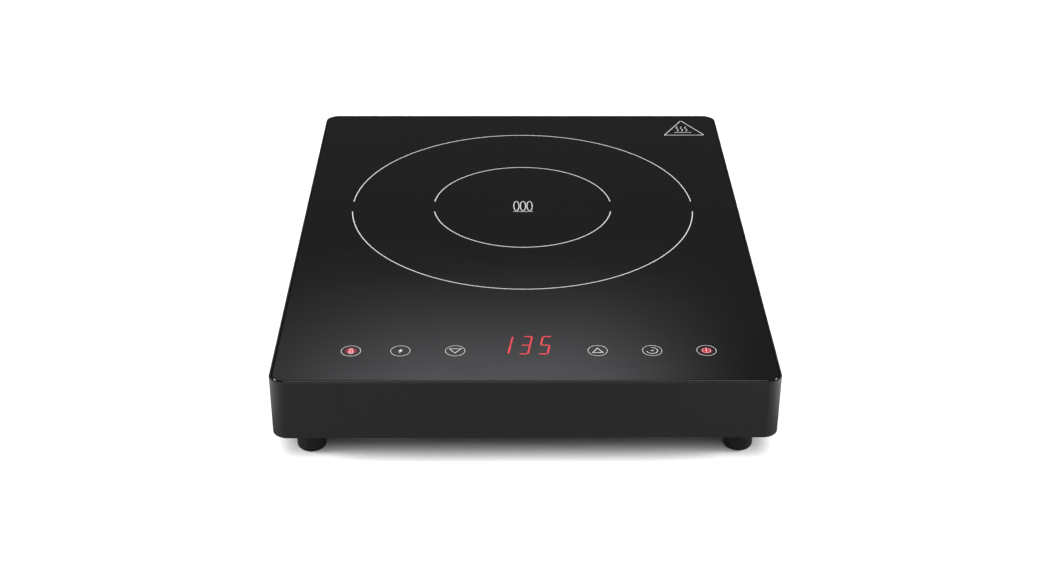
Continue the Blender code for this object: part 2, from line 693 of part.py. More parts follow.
def build_housing():
    """The moulded ring that everything hangs in: wall, glass rebate, bosses and gland pocket."""
    shell = slab(WIDTH, DEPTH, GROUND_CLEARANCE, RIM_TOP, CORNER_RADIUS)
    bevel_level(shell, RIM_TOP, EDGE_ROUND / 2)
    bevel_level(shell, GROUND_CLEARANCE, EDGE_ROUND, steps=2)
    housing = add_piece("housing_shell", shell, BLACK_MOULDING)

    cavity = slab(
        2 * INNER_HALF_WIDTH, 2 * INNER_HALF_DEPTH, GROUND_CLEARANCE - OVER, LEDGE_UNDERSIDE,
        CORNER_RADIUS - WALL, steps=4,
    )
    cut(housing, "cavity", [cavity])
    rebate = slab(
        WIDTH - 2 * RIM_WALL, DEPTH - 2 * RIM_WALL, LEDGE_TOP, HEIGHT + OVER,
        CORNER_RADIUS - RIM_WALL,
    )
    cut(housing, "glass_rebate", [rebate])
    frame = RIM_WALL + LEDGE_REACH
    window = slab(
        WIDTH - 2 * frame, DEPTH - 2 * frame, LEDGE_UNDERSIDE - OVER, LEDGE_TOP + OVER,
        WINDOW_RADIUS, steps=2,
    )
    cut(housing, "window", [window])

    boss_top = LEDGE_UNDERSIDE + LEDGE_THICKNESS / 2
    fuse(housing, "gussets", [gusset(x, y) for x, y in BOSS_PLACES])
    fuse(housing, "bosses", [rod(BOSS_RADIUS, DECK, boss_top, place, 8) for place in BOSS_PLACES])
    fuse(housing, "shelves", [tray_shelf(-1), tray_shelf(1)])

    pocket_back = POCKET_FLOOR - WALL
    pocket_block = slab(
        POCKET_WIDTH + 2 * POCKET_WALL, DEPTH / 2 - WALL / 2 - pocket_back,
        GLAND_HEIGHT - POCKET_HEIGHT / 2 - POCKET_WALL,
        GLAND_HEIGHT + POCKET_HEIGHT / 2 + POCKET_WALL,
        centre=(GLAND_X, (DEPTH / 2 - WALL / 2 + pocket_back) / 2),
    )
    fuse(housing, "pocket_block", [pocket_block])
    pocket = slab(
        POCKET_WIDTH, POCKET_DEPTH + OVER, GLAND_HEIGHT - POCKET_HEIGHT / 2,
        GLAND_HEIGHT + POCKET_HEIGHT / 2, centre=(GLAND_X, (DEPTH / 2 + OVER + POCKET_FLOOR) / 2),
    )
    cut(housing, "pocket", [pocket])
    gland_hole = laid_along_y(rod(GLAND_THREAD / 2 + GAP, pocket_back - OVER, POCKET_FLOOR + OVER))
    cut(housing, "gland_hole", [moved(gland_hole, x=GLAND_X, z=GLAND_HEIGHT)])

    pilot_top = PLATE_UNDERSIDE - GAP + SCREW_LENGTH + 2 * GAP
    pilots = [
        rod(SCREW_RADIUS + GAP, DECK - OVER, pilot_top, place, 6) for place in BOSS_PLACES
    ]
    cut(housing, "pilot_holes", pilots)
    cut(housing, "exhaust_slots", exhaust_slots())


def exhaust_slots():
    """The row of upright slots in the rear wall."""
    middle = (PLATE_TOP + LEDGE_UNDERSIDE) / 2
    first = SLOT_ROW_X - SLOT_PITCH * (SLOT_COUNT - 1) / 2
    return [
        slab(
            SLOT_WIDTH, 3 * WALL, middle - SLOT_HEIGHT / 2, middle + SLOT_HEIGHT / 2,
            centre=(first + i * SLOT_PITCH, DEPTH / 2 - WALL / 2),
        )
        for i in range(SLOT_COUNT)
    ]


def build_glass():
    """The ceramic glass top and the silicone bead that it lies on."""
    border = RIM_WALL + GAP
    glass = slab(
        WIDTH - 2 * border, DEPTH - 2 * border, GLASS_UNDERSIDE, HEIGHT, CORNER_RADIUS - border
    )
    bevel_level(glass, HEIGHT, GLASS_BEVEL, steps=2)
    add_piece("glass_top", glass, BLACK_GLASS)

    outer = border + SEAL_INSET
    inner = outer + SEAL_WIDTH
    low = GLASS_UNDERSIDE - GAP - SEAL_THICKNESS
    high = GLASS_UNDERSIDE - GAP
    bead = slab(WIDTH - 2 * outer, DEPTH - 2 * outer, low, high, CORNER_RADIUS - outer, steps=4)
    seal = add_piece("glass_seal", bead, SILICONE)
    opening = slab(
        WIDTH - 2 * inner, DEPTH - 2 * inner, low - OVER, high + OVER, SEAL_INNER_RADIUS, steps=2
    )
    cut(seal, "opening", [opening])


def intake_slots():
    """Parallel slots under the blower, their lengths following a circle."""
    count = 2 * int(INTAKE_RADIUS / INTAKE_SLOT_PITCH) - 1
    slots = []
    for i in range(count):
        offset = (i - (count - 1) / 2) * INTAKE_SLOT_PITCH
        length = 2 * math.sqrt(INTAKE_RADIUS**2 - offset**2)
        slots.append(
            slab(
                length, INTAKE_SLOT_WIDTH, PLATE_UNDERSIDE - OVER, PLATE_TOP + OVER,
                INTAKE_SLOT_WIDTH * 0.4, (BLOWER_X, BLOWER_Y + offset), steps=1,
            )
        )
    return slots


def build_base_plate():
    """The sheet-steel bottom, with the intake grille and the fasteners' holes."""
    sheet = slab(
        2 * (INNER_HALF_WIDTH - GAP), 2 * (INNER_HALF_DEPTH - GAP), PLATE_UNDERSIDE, PLATE_TOP,
        CORNER_RADIUS - WALL - GAP, steps=4,
    )
    plate = add_piece("base_plate", sheet, ZINC_SHEET)
    low, high = PLATE_UNDERSIDE - OVER, PLATE_TOP + OVER
    holes = [rod(SCREW_RADIUS + GAP, low, high, place, 8) for place in BOSS_PLACES]
    holes += [rod(FOOT_SCREW_RADIUS + GAP, low, high, place, 8) for place in FOOT_PLACES]
    cut(plate, "screw_holes", holes)
    cut(plate, "intake_slots", intake_slots())


def foot_profile():
    """The rubber foot's section: tapered side, rounded tread, screw recess and bore."""
    top = PLATE_UNDERSIDE - GAP
    low_radius = FOOT_RADIUS - FOOT_TAPER
    tread = arc(FOOT_ROUND, 0, -90, 2, (low_radius - FOOT_ROUND, FOOT_ROUND))
    bore = FOOT_SCREW_RADIUS + GAP
    return [
        (FOOT_RADIUS, top),
        *tread,
        (FOOT_RECESS_RADIUS, 0.0),
        (FOOT_RECESS_RADIUS, FOOT_RECESS_DEPTH),
        (bore, FOOT_RECESS_DEPTH),
        (bore, top),
    ]


def screw_profile(shank, head, head_height, head_level, length):
    """A pan-head screw standing head down, its head's seat at head_level."""
    return [
        (0.0, head_level + length),
        (shank, head_level + length - shank),
        (shank, head_level),
        (head, head_level),
        (head, head_level - head_height * 0.55),
        (head * 0.72, head_level - head_height),
        (0.0, head_level - head_height),
    ]


def build_feet_and_screws():
    """Four rubber feet on their screws, and the six screws that hold the base plate."""
    for number, (x, y) in enumerate(FOOT_PLACES, 1):
        add_turned(f"foot_{number}", foot_profile(), RUBBER, (x, y, 0.0), steps=16, ring=True)
        seat = FOOT_RECESS_DEPTH - GAP
        length = PLATE_TOP + FOOT_SCREW_PAST_PLATE - seat
        profile = screw_profile(
            FOOT_SCREW_RADIUS, FOOT_SCREW_HEAD, FOOT_SCREW_HEAD_HEIGHT, seat, length
        )
        add_turned(f"foot_screw_{number}", profile, STEEL_SCREW, (x, y, 0.0), steps=10)
    for number, (x, y) in enumerate(BOSS_PLACES, 1):
        profile = screw_profile(
            SCREW_RADIUS, SCREW_HEAD_RADIUS, SCREW_HEAD_HEIGHT, PLATE_UNDERSIDE - GAP, SCREW_LENGTH
        )
        add_turned(f"base_screw_{number}", profile, STEEL_SCREW, (x, y, 0.0), steps=10)


def build_gland():
    """The cord gland in its pocket and the locknut behind the wall; both lie along +Y."""
    lying = (-math.pi / 2, 0.0, 0.0)
    seat = POCKET_FLOOR + GAP
    barrel_end = POCKET_FLOOR - WALL - GAP - LOCKNUT_LENGTH - THREAD_PAST_NUT
    place = (GLAND_X, seat, GLAND_HEIGHT)
    head = rod(GLAND_HEAD / 2, 0.0, GLAND_HEAD_LENGTH, sides=6)
    gland = add_piece("cable_gland", head, NYLON, place, lying)
    collar = rod(
        GLAND_HEAD * 0.40, GLAND_HEAD_LENGTH / 2, GLAND_HEAD_LENGTH + GLAND_COLLAR_RISE,
        sides=20, top_radius=GLAND_HEAD * 0.34,
    )
    barrel = rod(GLAND_THREAD / 2, barrel_end - seat, GLAND_HEAD_LENGTH / 4)
    fuse(gland, "collar", [collar])
    fuse(gland, "barrel", [barrel])
    cut(gland, "cord_bore", [rod(CORD_BORE / 2, barrel_end - seat - OVER, POCKET_DEPTH + OVER)])

    nut_seat = POCKET_FLOOR - WALL - GAP
    nut = add_piece(
        "gland_locknut", rod(LOCKNUT_CORNERS / 2, -LOCKNUT_LENGTH, 0.0, sides=6), NYLON,
        (GLAND_X, nut_seat, GLAND_HEIGHT), lying,
    )
    cut(nut, "thread", [rod(GLAND_THREAD / 2 + GAP, -LOCKNUT_LENGTH - OVER, OVER)])


# ---------------------------------------------------------------- controls


def segment(start, end):
    """The outline of one display segment between two corners of a digit, pointed at both ends."""
    (x0, y0), (x1, y1) = start, end
    length = math.hypot(x1 - x0, y1 - y0)
    along = ((x1 - x0) / length, (y1 - y0) / length)
    across = (-along[1], along[0])
    half = DIGIT_STROKE / 2
    tip = GAP
    outline = []
    for run, side in (
        (tip, 0), (tip + half, -half), (length - tip - half, -half),
        (length - tip, 0), (length - tip - half, half), (tip + half, half),
    ):
        outline.append(
            (x0 + along[0] * run + across[0] * side, y0 + along[1] * run + across[1] * side)
        )
    return outline


def digit_segments(centre_x):
    """The seven segment outlines of a digit, leaning to the right."""
    half_width, half_height = DIGIT_WIDTH / 2, DIGIT_HEIGHT / 2
    left, right = -half_width, half_width
    strokes = [((left, level), (right, level)) for level in (-half_height, 0.0, half_height)]
    strokes += [((x, -half_height), (x, 0.0)) for x in (left, right)]
    strokes += [((x, 0.0), (x, half_height)) for x in (left, right)]
    lean = math.tan(math.radians(DIGIT_SLANT))
    return [
        [(centre_x + x + y * lean, DISPLAY_Y + y) for x, y in segment(start, end)]
        for start, end in strokes
    ]


def build_display():
    """The three-digit display block, its segments sunk into the face."""
    low, high = CONTROL_TOP + GAP, CEILING - DISPLAY_AIR
    block = slab(
        DISPLAY_WIDTH, DISPLAY_DEPTH, low, high, DISPLAY_CORNER, (DISPLAY_X, DISPLAY_Y), steps=1
    )
    display = add_piece("led_display", block, DISPLAY_PLASTIC)
    recesses = [
        prism([outline], high - SEGMENT_RECESS, high + SEGMENT_RECESS)
        for column in (-1, 0, 1)
        for outline in digit_segments(DISPLAY_X + column * DIGIT_PITCH)
    ]
    cut(display, "segments", recesses)


def build_control_board():
    """The control board, with an indicator lamp in the middle of each key and a few chips."""
    board = slab(
        CONTROL_WIDTH, CONTROL_BOARD_DEPTH, CONTROL_UNDERSIDE, CONTROL_TOP, 0.001,
        (0.0, CONTROL_Y), steps=1,
    )
    piece = add_piece("control_board", board, CIRCUIT_BOARD)
    sunk = CONTROL_TOP - SOLDERED
    lamps = [
        slab(LAMP_WIDTH, LAMP_DEPTH, sunk, CONTROL_TOP + LAMP_HEIGHT, centre=(x, KEY_Y))
        for x in KEY_X
    ]
    socket = slab(
        RIBBON_WIDTH + SOCKET_WALLS, SOCKET_DEPTH, sunk, CONTROL_TOP + SOCKET_HEIGHT,
        centre=(RIBBON_X, SOCKET_Y),
    )
    fuse(piece, "lamps", [*lamps, socket])


def spring_path(x):
    """A conical helix standing on the control board and reaching up to the glass."""
    low = CONTROL_TOP + GAP + SPRING_WIRE
    high = CEILING - SPRING_WIRE
    count = SPRING_TURNS * SPRING_POINTS_PER_TURN
    path = []
    for i in range(count + 1):
        share = i / count
        radius = SPRING_BASE_RADIUS + (SPRING_TOP_RADIUS - SPRING_BASE_RADIUS) * share
        angle = 360 * i / SPRING_POINTS_PER_TURN
        path.append(polar(radius, angle, low + (high - low) * share, (x, KEY_Y)))
    return path


def build_touch_springs():
    """The springs that carry a finger's touch from the glass to the board."""
    for number, x in enumerate(KEY_X, 1):
        add_wire(f"touch_spring_{number}", spring_path(x), SPRING_WIRE, SPRING_STEEL, 0)


def build_tray():
    """The tray that holds the control board up under the glass, resting on the side shelves."""
    block = slab(
        TRAY_WIDTH, TRAY_DEPTH, TRAY_UNDERSIDE, TRAY_TOP, TRAY_CORNER, (0.0, CONTROL_Y), steps=2
    )
    tray = add_piece("control_tray", block, TRAY_PLASTIC)
    room = slab(
        CONTROL_WIDTH + 4 * GAP, CONTROL_BOARD_DEPTH + 4 * GAP, TRAY_UNDERSIDE + TRAY_FLOOR,
        TRAY_TOP + OVER, TRAY_CORNER / 2, (0.0, CONTROL_Y), steps=1,
    )
    cut(tray, "board_room", [room])
    pad_rows = CONTROL_BOARD_DEPTH / 2 - TRAY_PAD_FROM_EDGE
    pad_columns = CONTROL_WIDTH / 2 - TRAY_PAD_FROM_END
    pads = [
        rod(TRAY_PAD_RADIUS, TRAY_UNDERSIDE + TRAY_FLOOR / 2, TRAY_PAD_TOP, (x, CONTROL_Y + y), 8)
        for x in (-pad_columns, -pad_columns / 3, pad_columns / 3, pad_columns)
        for y in (-pad_rows, pad_rows)
    ]
    fuse(tray, "pads", pads)


def build_ribbon():
    """The ribbon cable from the control board back over the tray and down to the power board."""
    tray_back = CONTROL_Y + TRAY_DEPTH / 2
    over_board = CONTROL_TOP + RIBBON_RISE
    clear = tray_back + RIBBON_BEND
    route = [
        (SOCKET_Y, over_board), (tray_back - 0.3 * RIBBON_BEND, over_board),
        (clear, over_board - RIBBON_BEND_DROP), (clear, (over_board + ON_BOARD) / 2),
        (clear - 0.6 * RIBBON_BEND, ON_BOARD + RIBBON_END_RISE),
    ]
    strip = bmesh.new()
    rows = []
    for y, z in smooth_path(route, 3):
        left = strip.verts.new((RIBBON_X - RIBBON_WIDTH / 2, y, z))
        right = strip.verts.new((RIBBON_X + RIBBON_WIDTH / 2, y, z))
        rows.append((left, right))
    for (left, right), (next_left, next_right) in zip(rows, rows[1:]):
        strip.faces.new((left, right, next_right, next_left))
    ribbon = add_piece("ribbon_cable", strip, RIBBON_PLASTIC)
    solidify = ribbon.modifiers.new("Thickness", "SOLIDIFY")
    solidify.thickness = RIBBON_THICKNESS
    solidify.offset = 0.0


# ---------------------------------------------------------------- coil stack


def around_coil(radius, degrees, z=0.0):
    """A point about the coil's upright axis."""
    return polar(radius, degrees, z, (0.0, COIL_Y))


def build_coil():
    """The litz winding, its mica sheet above and the ferrite bars below."""
    path = []
    for i in range(COIL_TURNS * COIL_POINTS_PER_TURN + 1):
        turn = i / COIL_POINTS_PER_TURN
        path.append(around_coil(COIL_INNER + COIL_PITCH * turn, COIL_START + 360 * turn, COIL_LEVEL))
    add_wire("coil_winding", path, WIRE_RADIUS, COPPER_LITZ)

    sheet = rod(MICA_RADIUS, MICA_UNDERSIDE, CEILING, (0.0, COIL_Y), 32)
    mica = add_piece("mica_sheet", sheet, MICA)
    hole = rod(MICA_HOLE, MICA_UNDERSIDE - OVER, CEILING + OVER, (0.0, COIL_Y), 14)
    cut(mica, "sensor_hole", [hole])

    for number in range(FERRITE_COUNT):
        bar = slab(
            FERRITE_LENGTH, FERRITE_WIDTH, FERRITE_UNDERSIDE, FERRITE_TOP, FERRITE_CORNER,
            (FERRITE_MIDDLE, 0.0), steps=1,
        )
        turned_about_z(bar, ferrite_angle(number))
        add_piece(f"ferrite_bar_{number + 1}", moved(bar, y=COIL_Y), FERRITE)


def ferrite_angle(number):
    """Where the bars lie, with the leads' side left free between two of them."""
    return FERRITE_SPREAD * number


def sector(inner, outer, start, end):
    """The outline of a window between two radii and two angles about the coil's axis."""
    return [
        *arc(outer, start, end, 4, (0.0, COIL_Y)),
        *arc(inner, end, start, 3, (0.0, COIL_Y)),
    ]


def build_former():
    """The winding's carrier: a spoked disc whose ribs hold the ferrite bars from both sides."""
    disc = rod(FORMER_RADIUS, FORMER_UNDERSIDE, FORMER_TOP, (0.0, COIL_Y), 30)
    former = add_piece("coil_former", disc, FORMER_PLASTIC)
    low, high = FORMER_UNDERSIDE - OVER, FORMER_TOP + OVER
    middle_hole = rod(FORMER_HOLE, low, high, (0.0, COIL_Y), 16)
    windows = []
    for number in range(FERRITE_COUNT):
        middle = ferrite_angle(number) + FERRITE_SPREAD / 2
        start, end = middle - WINDOW_HALF_ANGLE, middle + WINDOW_HALF_ANGLE
        inner, outer = FORMER_HOLE + FORMER_RING, FORMER_RADIUS - FORMER_RING
        windows.append(prism([sector(inner, outer, start, end)], low, high))
    cut(former, "openings", [middle_hole, *windows])

    ribs = []
    offset = FERRITE_WIDTH / 2 + GAP + FORMER_RIB / 2
    for number in range(FERRITE_COUNT):
        for side in (-1, 1):
            rib = slab(
                FERRITE_LENGTH - 2 * RIB_END_MARGIN, FORMER_RIB,
                FERRITE_UNDERSIDE + FORMER_RIB_DROP, FORMER_UNDERSIDE + FORMER_THICKNESS / 2,
                centre=(FERRITE_MIDDLE, side * offset),
            )
            ribs.append(moved(turned_about_z(rib, ferrite_angle(number)), y=COIL_Y))
    fuse(former, "ribs", ribs)


def build_support():
    """The aluminium plate under the ferrites, on three posts, and the sensor's cap in the middle."""
    half_spread = FERRITE_SPREAD / 2
    low, high = SUPPORT_UNDERSIDE - OVER, SUPPORT_TOP + OVER
    disc = rod(SUPPORT_RADIUS, SUPPORT_UNDERSIDE, SUPPORT_TOP, (0.0, COIL_Y), 30)
    support = add_piece("coil_support", disc, ALUMINIUM)
    posts = [around_coil(POST_CIRCLE, half_spread + 120 * i)[:2] for i in range(3)]
    vent_places = [
        around_coil(SUPPORT_VENT_CIRCLE, ferrite_angle(i) + half_spread)[:2]
        for i in range(FERRITE_COUNT)
    ]
    lead_place = around_coil(LEAD_HOLE_CIRCLE, COIL_START - half_spread)[:2]
    holes = [
        rod(SUPPORT_HOLE, low, high, (0.0, COIL_Y), 16),
        rod(LEAD_HOLE, low, high, lead_place, 8),
        *[rod(SPIGOT_RADIUS + GAP, low, high, place, 8) for place in posts],
        *[rod(SUPPORT_VENT_RADIUS, low, high, place, 9) for place in vent_places],
    ]
    cut(support, "holes", holes)

    for number, place in enumerate(posts, 1):
        post = rod(POST_RADIUS, DECK, SUPPORT_UNDERSIDE - GAP, place, 6)
        piece = add_piece(f"coil_post_{number}", post, POST_NYLON)
        spigot = rod(
            SPIGOT_RADIUS, SUPPORT_UNDERSIDE - SPIGOT_ROOT, SUPPORT_TOP + SPIGOT_RISE, place, 8
        )
        fuse(piece, "spigot", [spigot])

    base = SUPPORT_TOP + GAP
    bore_top = CEILING - CAP_TOP
    profile = [
        (0.0, CEILING), (CAP_RADIUS - CAP_ROUND, CEILING), (CAP_RADIUS, CEILING - CAP_ROUND),
        (CAP_RADIUS, base + CAP_FLANGE_THICKNESS), (CAP_FLANGE, base + CAP_FLANGE_THICKNESS),
        (CAP_FLANGE, base), (CAP_BORE, base), (CAP_BORE, bore_top), (0.0, bore_top),
    ]
    add_turned("thermistor_cap", profile, CAP_SILICONE, (0.0, COIL_Y, 0.0), steps=16)


def down_to_lug(x):
    """The last places of a lead's route, straight down onto its lug."""
    foot = LUG_TOP + GAP
    return [
        (x, LUG_Y + 2 * WIRE_RADIUS, foot + LEAD_TO_LUG),
        (x, LUG_Y, foot + LEAD_TO_LUG / 2),
        (x, LUG_Y, foot),
    ]


def build_leads():
    """The winding's two sleeved ends, brought down to the lugs of the power board."""
    below = SUPPORT_UNDERSIDE - LEAD_BELOW_SUPPORT
    step = math.degrees(LEAD_JOINT / COIL_INNER)
    through = COIL_START - FERRITE_SPREAD / 2
    # The inner end turns in beside the first turn until it is clear of the former, then down.
    inner = [
        around_coil(COIL_INNER, COIL_START - step, COIL_LEVEL),
        around_coil(COIL_INNER - 0.0014, COIL_START - 6, COIL_LEVEL),
        around_coil(COIL_INNER - 0.0045, COIL_START - 13, COIL_LEVEL),
        around_coil(FORMER_HOLE - 2 * WIRE_RADIUS, COIL_START - 21, COIL_LEVEL - 0.0008),
        around_coil(LEAD_HOLE_CIRCLE, through, SUPPORT_TOP + LEAD_BELOW_SUPPORT),
        around_coil(LEAD_HOLE_CIRCLE, through, below + 0.001),
        around_coil(LEAD_HOLE_CIRCLE + 0.006, through, below - 0.003),
        around_coil(POST_CIRCLE, COIL_START - 12, below - 0.003),
        *down_to_lug(LUG_X[0]),
    ]
    add_wire("coil_lead_inner", smooth_path(inner, 2), WIRE_RADIUS, LEAD_SLEEVE)
    outer_step = math.degrees(LEAD_JOINT / COIL_OUTER)
    beyond = FORMER_RADIUS + WIRE_RADIUS + 0.0022
    # The outer end turns out past the former's rim, then down.
    outer = [
        around_coil(COIL_OUTER, COIL_START + outer_step, COIL_LEVEL),
        around_coil(COIL_OUTER + 0.0014, COIL_START + 3, COIL_LEVEL),
        around_coil(beyond - 0.002, COIL_START + 6, COIL_LEVEL),
        around_coil(beyond, COIL_START + 8, COIL_LEVEL - WIRE_RADIUS),
        around_coil(beyond, COIL_START + 9, FERRITE_UNDERSIDE),
        around_coil(beyond, COIL_START + 9, SUPPORT_UNDERSIDE - 0.002),
        *down_to_lug(LUG_X[1]),
    ]
    add_wire("coil_lead_outer", smooth_path(outer, 2), WIRE_RADIUS, LEAD_SLEEVE)


# ---------------------------------------------------------------- power electronics


def on_board(name, width, depth, height, centre, material, radius=0.0008):
    """A block that stands on the power board."""
    block = slab(width, depth, ON_BOARD, ON_BOARD + height, radius, centre, steps=1)
    bevel_level(block, ON_BOARD + height, 0.0006)
    return add_piece(name, block, material)


def build_power_board():
    """The power board on its stand-offs, with its small parts and the coil's two terminals."""
    width = BOARD_RIGHT - BOARD_LEFT
    middle = ((BOARD_LEFT + BOARD_RIGHT) / 2, (BOARD_FRONT + BOARD_BACK) / 2)
    sheet = slab(width, BOARD_DEPTH, BOARD_UNDERSIDE, BOARD_TOP, BOARD_CORNER, middle, steps=1)
    board = add_piece("power_board", sheet, CIRCUIT_BOARD)
    stand_offs = [
        rod(STAND_OFF_RADIUS, DECK, BOARD_UNDERSIDE + BOARD_THICKNESS / 2, (x, y), 8)
        for x in (BOARD_LEFT + STAND_OFF_INSET, BOARD_RIGHT - STAND_OFF_INSET)
        for y in (BOARD_FRONT + STAND_OFF_INSET, BOARD_BACK - STAND_OFF_INSET)
    ]
    fuse(board, "stand_offs", stand_offs)
    sunk = BOARD_TOP - SOLDERED
    lugs = [slab(LUG_WIDTH, LUG_DEPTH, sunk, LUG_TOP, centre=(x, LUG_Y)) for x in LUG_X]
    ribbon_socket = slab(
        RIBBON_WIDTH + SOCKET_WALLS, SOCKET_DEPTH, sunk, ON_BOARD + POWER_SOCKET_HEIGHT,
        centre=(RIBBON_X, CONTROL_Y + TRAY_DEPTH / 2 + RIBBON_BEND / 2),
    )
    controller = slab(
        CONTROLLER_SIZE, CONTROLLER_SIZE, sunk, BOARD_TOP + CHIP_HEIGHT,
        centre=(RIBBON_X, BOARD_FRONT + CONTROLLER_FROM_FRONT),
    )
    drivers = [
        slab(
            DRIVER_WIDTH, DRIVER_DEPTH, sunk, BOARD_TOP + CHIP_HEIGHT,
            centre=(BOARD_LEFT + x, BOARD_FRONT + DRIVER_FROM_FRONT),
        )
        for x in DRIVER_FROM_LEFT
    ]
    buzzer_place = (BOARD_LEFT + BUZZER_FROM_LEFT, BOARD_FRONT + BUZZER_FROM_FRONT)
    buzzer = rod(BUZZER_RADIUS, sunk, BOARD_TOP + BUZZER_HEIGHT, buzzer_place, 14)
    fuse(board, "small_parts", [*lugs, ribbon_socket, controller, *drivers, buzzer])


def build_heatsink():
    """The comb of fins along the blower's outlet, with the switch and the rectifier on its back."""
    pitch = (SINK_HEIGHT - SINK_FIN) / (SINK_FINS - 1)
    outline = [(0.0, SINK_HEIGHT), (0.0, 0.0)]
    for fin in range(SINK_FINS):
        low = fin * pitch
        high = low + SINK_FIN
        if fin:
            outline.append((SINK_BASE, low))
        outline += [(SINK_DEPTH, low), (SINK_DEPTH, high)]
        if fin < SINK_FINS - 1:
            outline.append((SINK_BASE, high))
    comb = prism([outline], -SINK_LENGTH / 2, SINK_LENGTH / 2)
    # The comb is drawn flat as (depth, height): this turns its extrusion to run along X.
    upright = Matrix(((0, 0, 1), (1, 0, 0), (0, 1, 0)))
    bmesh.ops.transform(comb, matrix=upright.to_4x4(), verts=comb.verts)
    add_piece("heatsink", moved(comb, SINK_X, SINK_FRONT, ON_BOARD), ALUMINIUM)

    face = SINK_FRONT - GAP - PACKAGE_THICKNESS / 2
    build_package("igbt", *IGBT_SIZE, (SINK_X + IGBT_SHIFT, face), 3)
    build_package("bridge_rectifier", *RECTIFIER_SIZE, (SINK_X + RECTIFIER_SHIFT, face), 4)


def build_package(name, width, height, centre, legs):
    """A flat power package standing on its legs against the heatsink."""
    low = ON_BOARD + PACKAGE_LEG
    block = slab(width, PACKAGE_THICKNESS, low, low + height, 0.0006, centre, steps=1)
    package = add_piece(name, block, EPOXY)
    pitch = width * 0.7 / (legs - 1)
    pins = [
        slab(
            0.0012, 0.0007, ON_BOARD, low + 0.001,
            centre=(centre[0] + (i - (legs - 1) / 2) * pitch, centre[1]),
        )
        for i in range(legs)
    ]
    fuse(package, "legs", pins)
    bolt = laid_along_y(
        rod(PACKAGE_BOLT_RADIUS, -PACKAGE_THICKNESS, PACKAGE_THICKNESS, sides=12)
    )
    hole = moved(bolt, centre[0], centre[1], low + height * 0.74)
    cut(package, "bolt_hole", [hole])


def build_choke():
    """The mains filter choke: a ring core with two ridged windings, lying flat."""
    steps = 32
    bpy.ops.mesh.primitive_torus_add(
        major_segments=steps, minor_segments=6, major_radius=CHOKE_RADIUS,
        minor_radius=CHOKE_SECTION,
    )
    choke = bpy.context.object
    choke.name = "filter_choke"
    choke.data.name = "filter_choke"
    for collection in list(choke.users_collection):
        collection.objects.unlink(choke)
    PARTS.objects.link(choke)
    for vert in choke.data.vertices:
        angle = math.degrees(math.atan2(vert.co.y, vert.co.x)) % 180
        wound = 20 < angle < 160
        ridge = round(angle / (360 / steps)) % 2 == 0
        swell = CHOKE_BARE if not wound else CHOKE_RIDGE if ridge else CHOKE_WOUND
        inward = CHOKE_RADIUS / math.hypot(vert.co.x, vert.co.y)
        middle_x, middle_y = vert.co.x * inward, vert.co.y * inward
        vert.co.x = middle_x + (vert.co.x - middle_x) * swell
        vert.co.y = middle_y + (vert.co.y - middle_y) * swell
        vert.co.z *= swell
    finish_mesh(choke.data, COPPER_LITZ, 80)
    choke.location = (
        BOARD_RIGHT - CHOKE_FROM_RIGHT, SINK_FRONT + CHOKE_BEHIND_SINK_FRONT,
        ON_BOARD + CHOKE_SECTION * CHOKE_RIDGE,
    )


def build_board_parts():
    """The large parts that stand on the power board."""
    place = (SINK_X + RESONANT_SHIFT, SINK_FRONT - RESONANT_BEFORE_SINK)
    on_board("resonant_capacitor", *RESONANT_SIZE, place, FILM_CAPACITOR)
    place = (BOARD_RIGHT - SMOOTHING_FROM_RIGHT, SINK_FRONT - SMOOTHING_BEFORE_SINK)
    on_board("smoothing_capacitor", *SMOOTHING_SIZE, place, SUPPRESSOR)

    place = (BOARD_RIGHT - TRANSFORMER_FROM_RIGHT, BOARD_FRONT + TRANSFORMER_FROM_FRONT)
    transformer = on_board("transformer", *TRANSFORMER_SIZE, place, LAMINATION)
    winding = slab(
        BOBBIN_WIDTH, BOBBIN_DEPTH, ON_BOARD + BOBBIN_LOW, ON_BOARD + BOBBIN_HIGH, 0.002, place,
        steps=2,
    )
    fuse(transformer, "winding", [winding])

    place = (BOARD_RIGHT - TERMINAL_BLOCK_FROM_RIGHT, BOARD_BACK - TERMINAL_BLOCK_FROM_BACK)
    block = on_board("terminal_block", *TERMINAL_BLOCK_SIZE, place, TERMINAL_GREEN, 0.0005)
    top = ON_BOARD + TERMINAL_BLOCK_SIZE[2]
    wells = [
        rod(TERMINAL_WELL_RADIUS, top - TERMINAL_WELL_DEPTH, top + OVER,
            (place[0] + column * TERMINAL_WELL_PITCH, place[1]), 10)
        for column in (-1, 0, 1)
    ]
    cut(block, "screw_wells", wells)


# ---------------------------------------------------------------- blower


def scroll_outline(grow, outlet_x):
    """The scroll's outline about the wheel's axis, moved outward by grow, with a straight outlet.

    The air leaves along +X at the back, so the scroll opens clockwise from the tongue.
    """
    start = math.degrees(math.asin((TONGUE_Y - grow) / (SCROLL_START + grow)))
    end = -270.0
    outline = []
    for i in range(SCROLL_STEPS + 1):
        share = i / SCROLL_STEPS
        radius = SCROLL_START + grow + (SCROLL_END - SCROLL_START) * share
        outline.append(polar(radius, start + (end - start) * share)[:2])
    outline.append((outlet_x, SCROLL_END + grow))
    outline.append((outlet_x, TONGUE_Y - grow))
    return outline


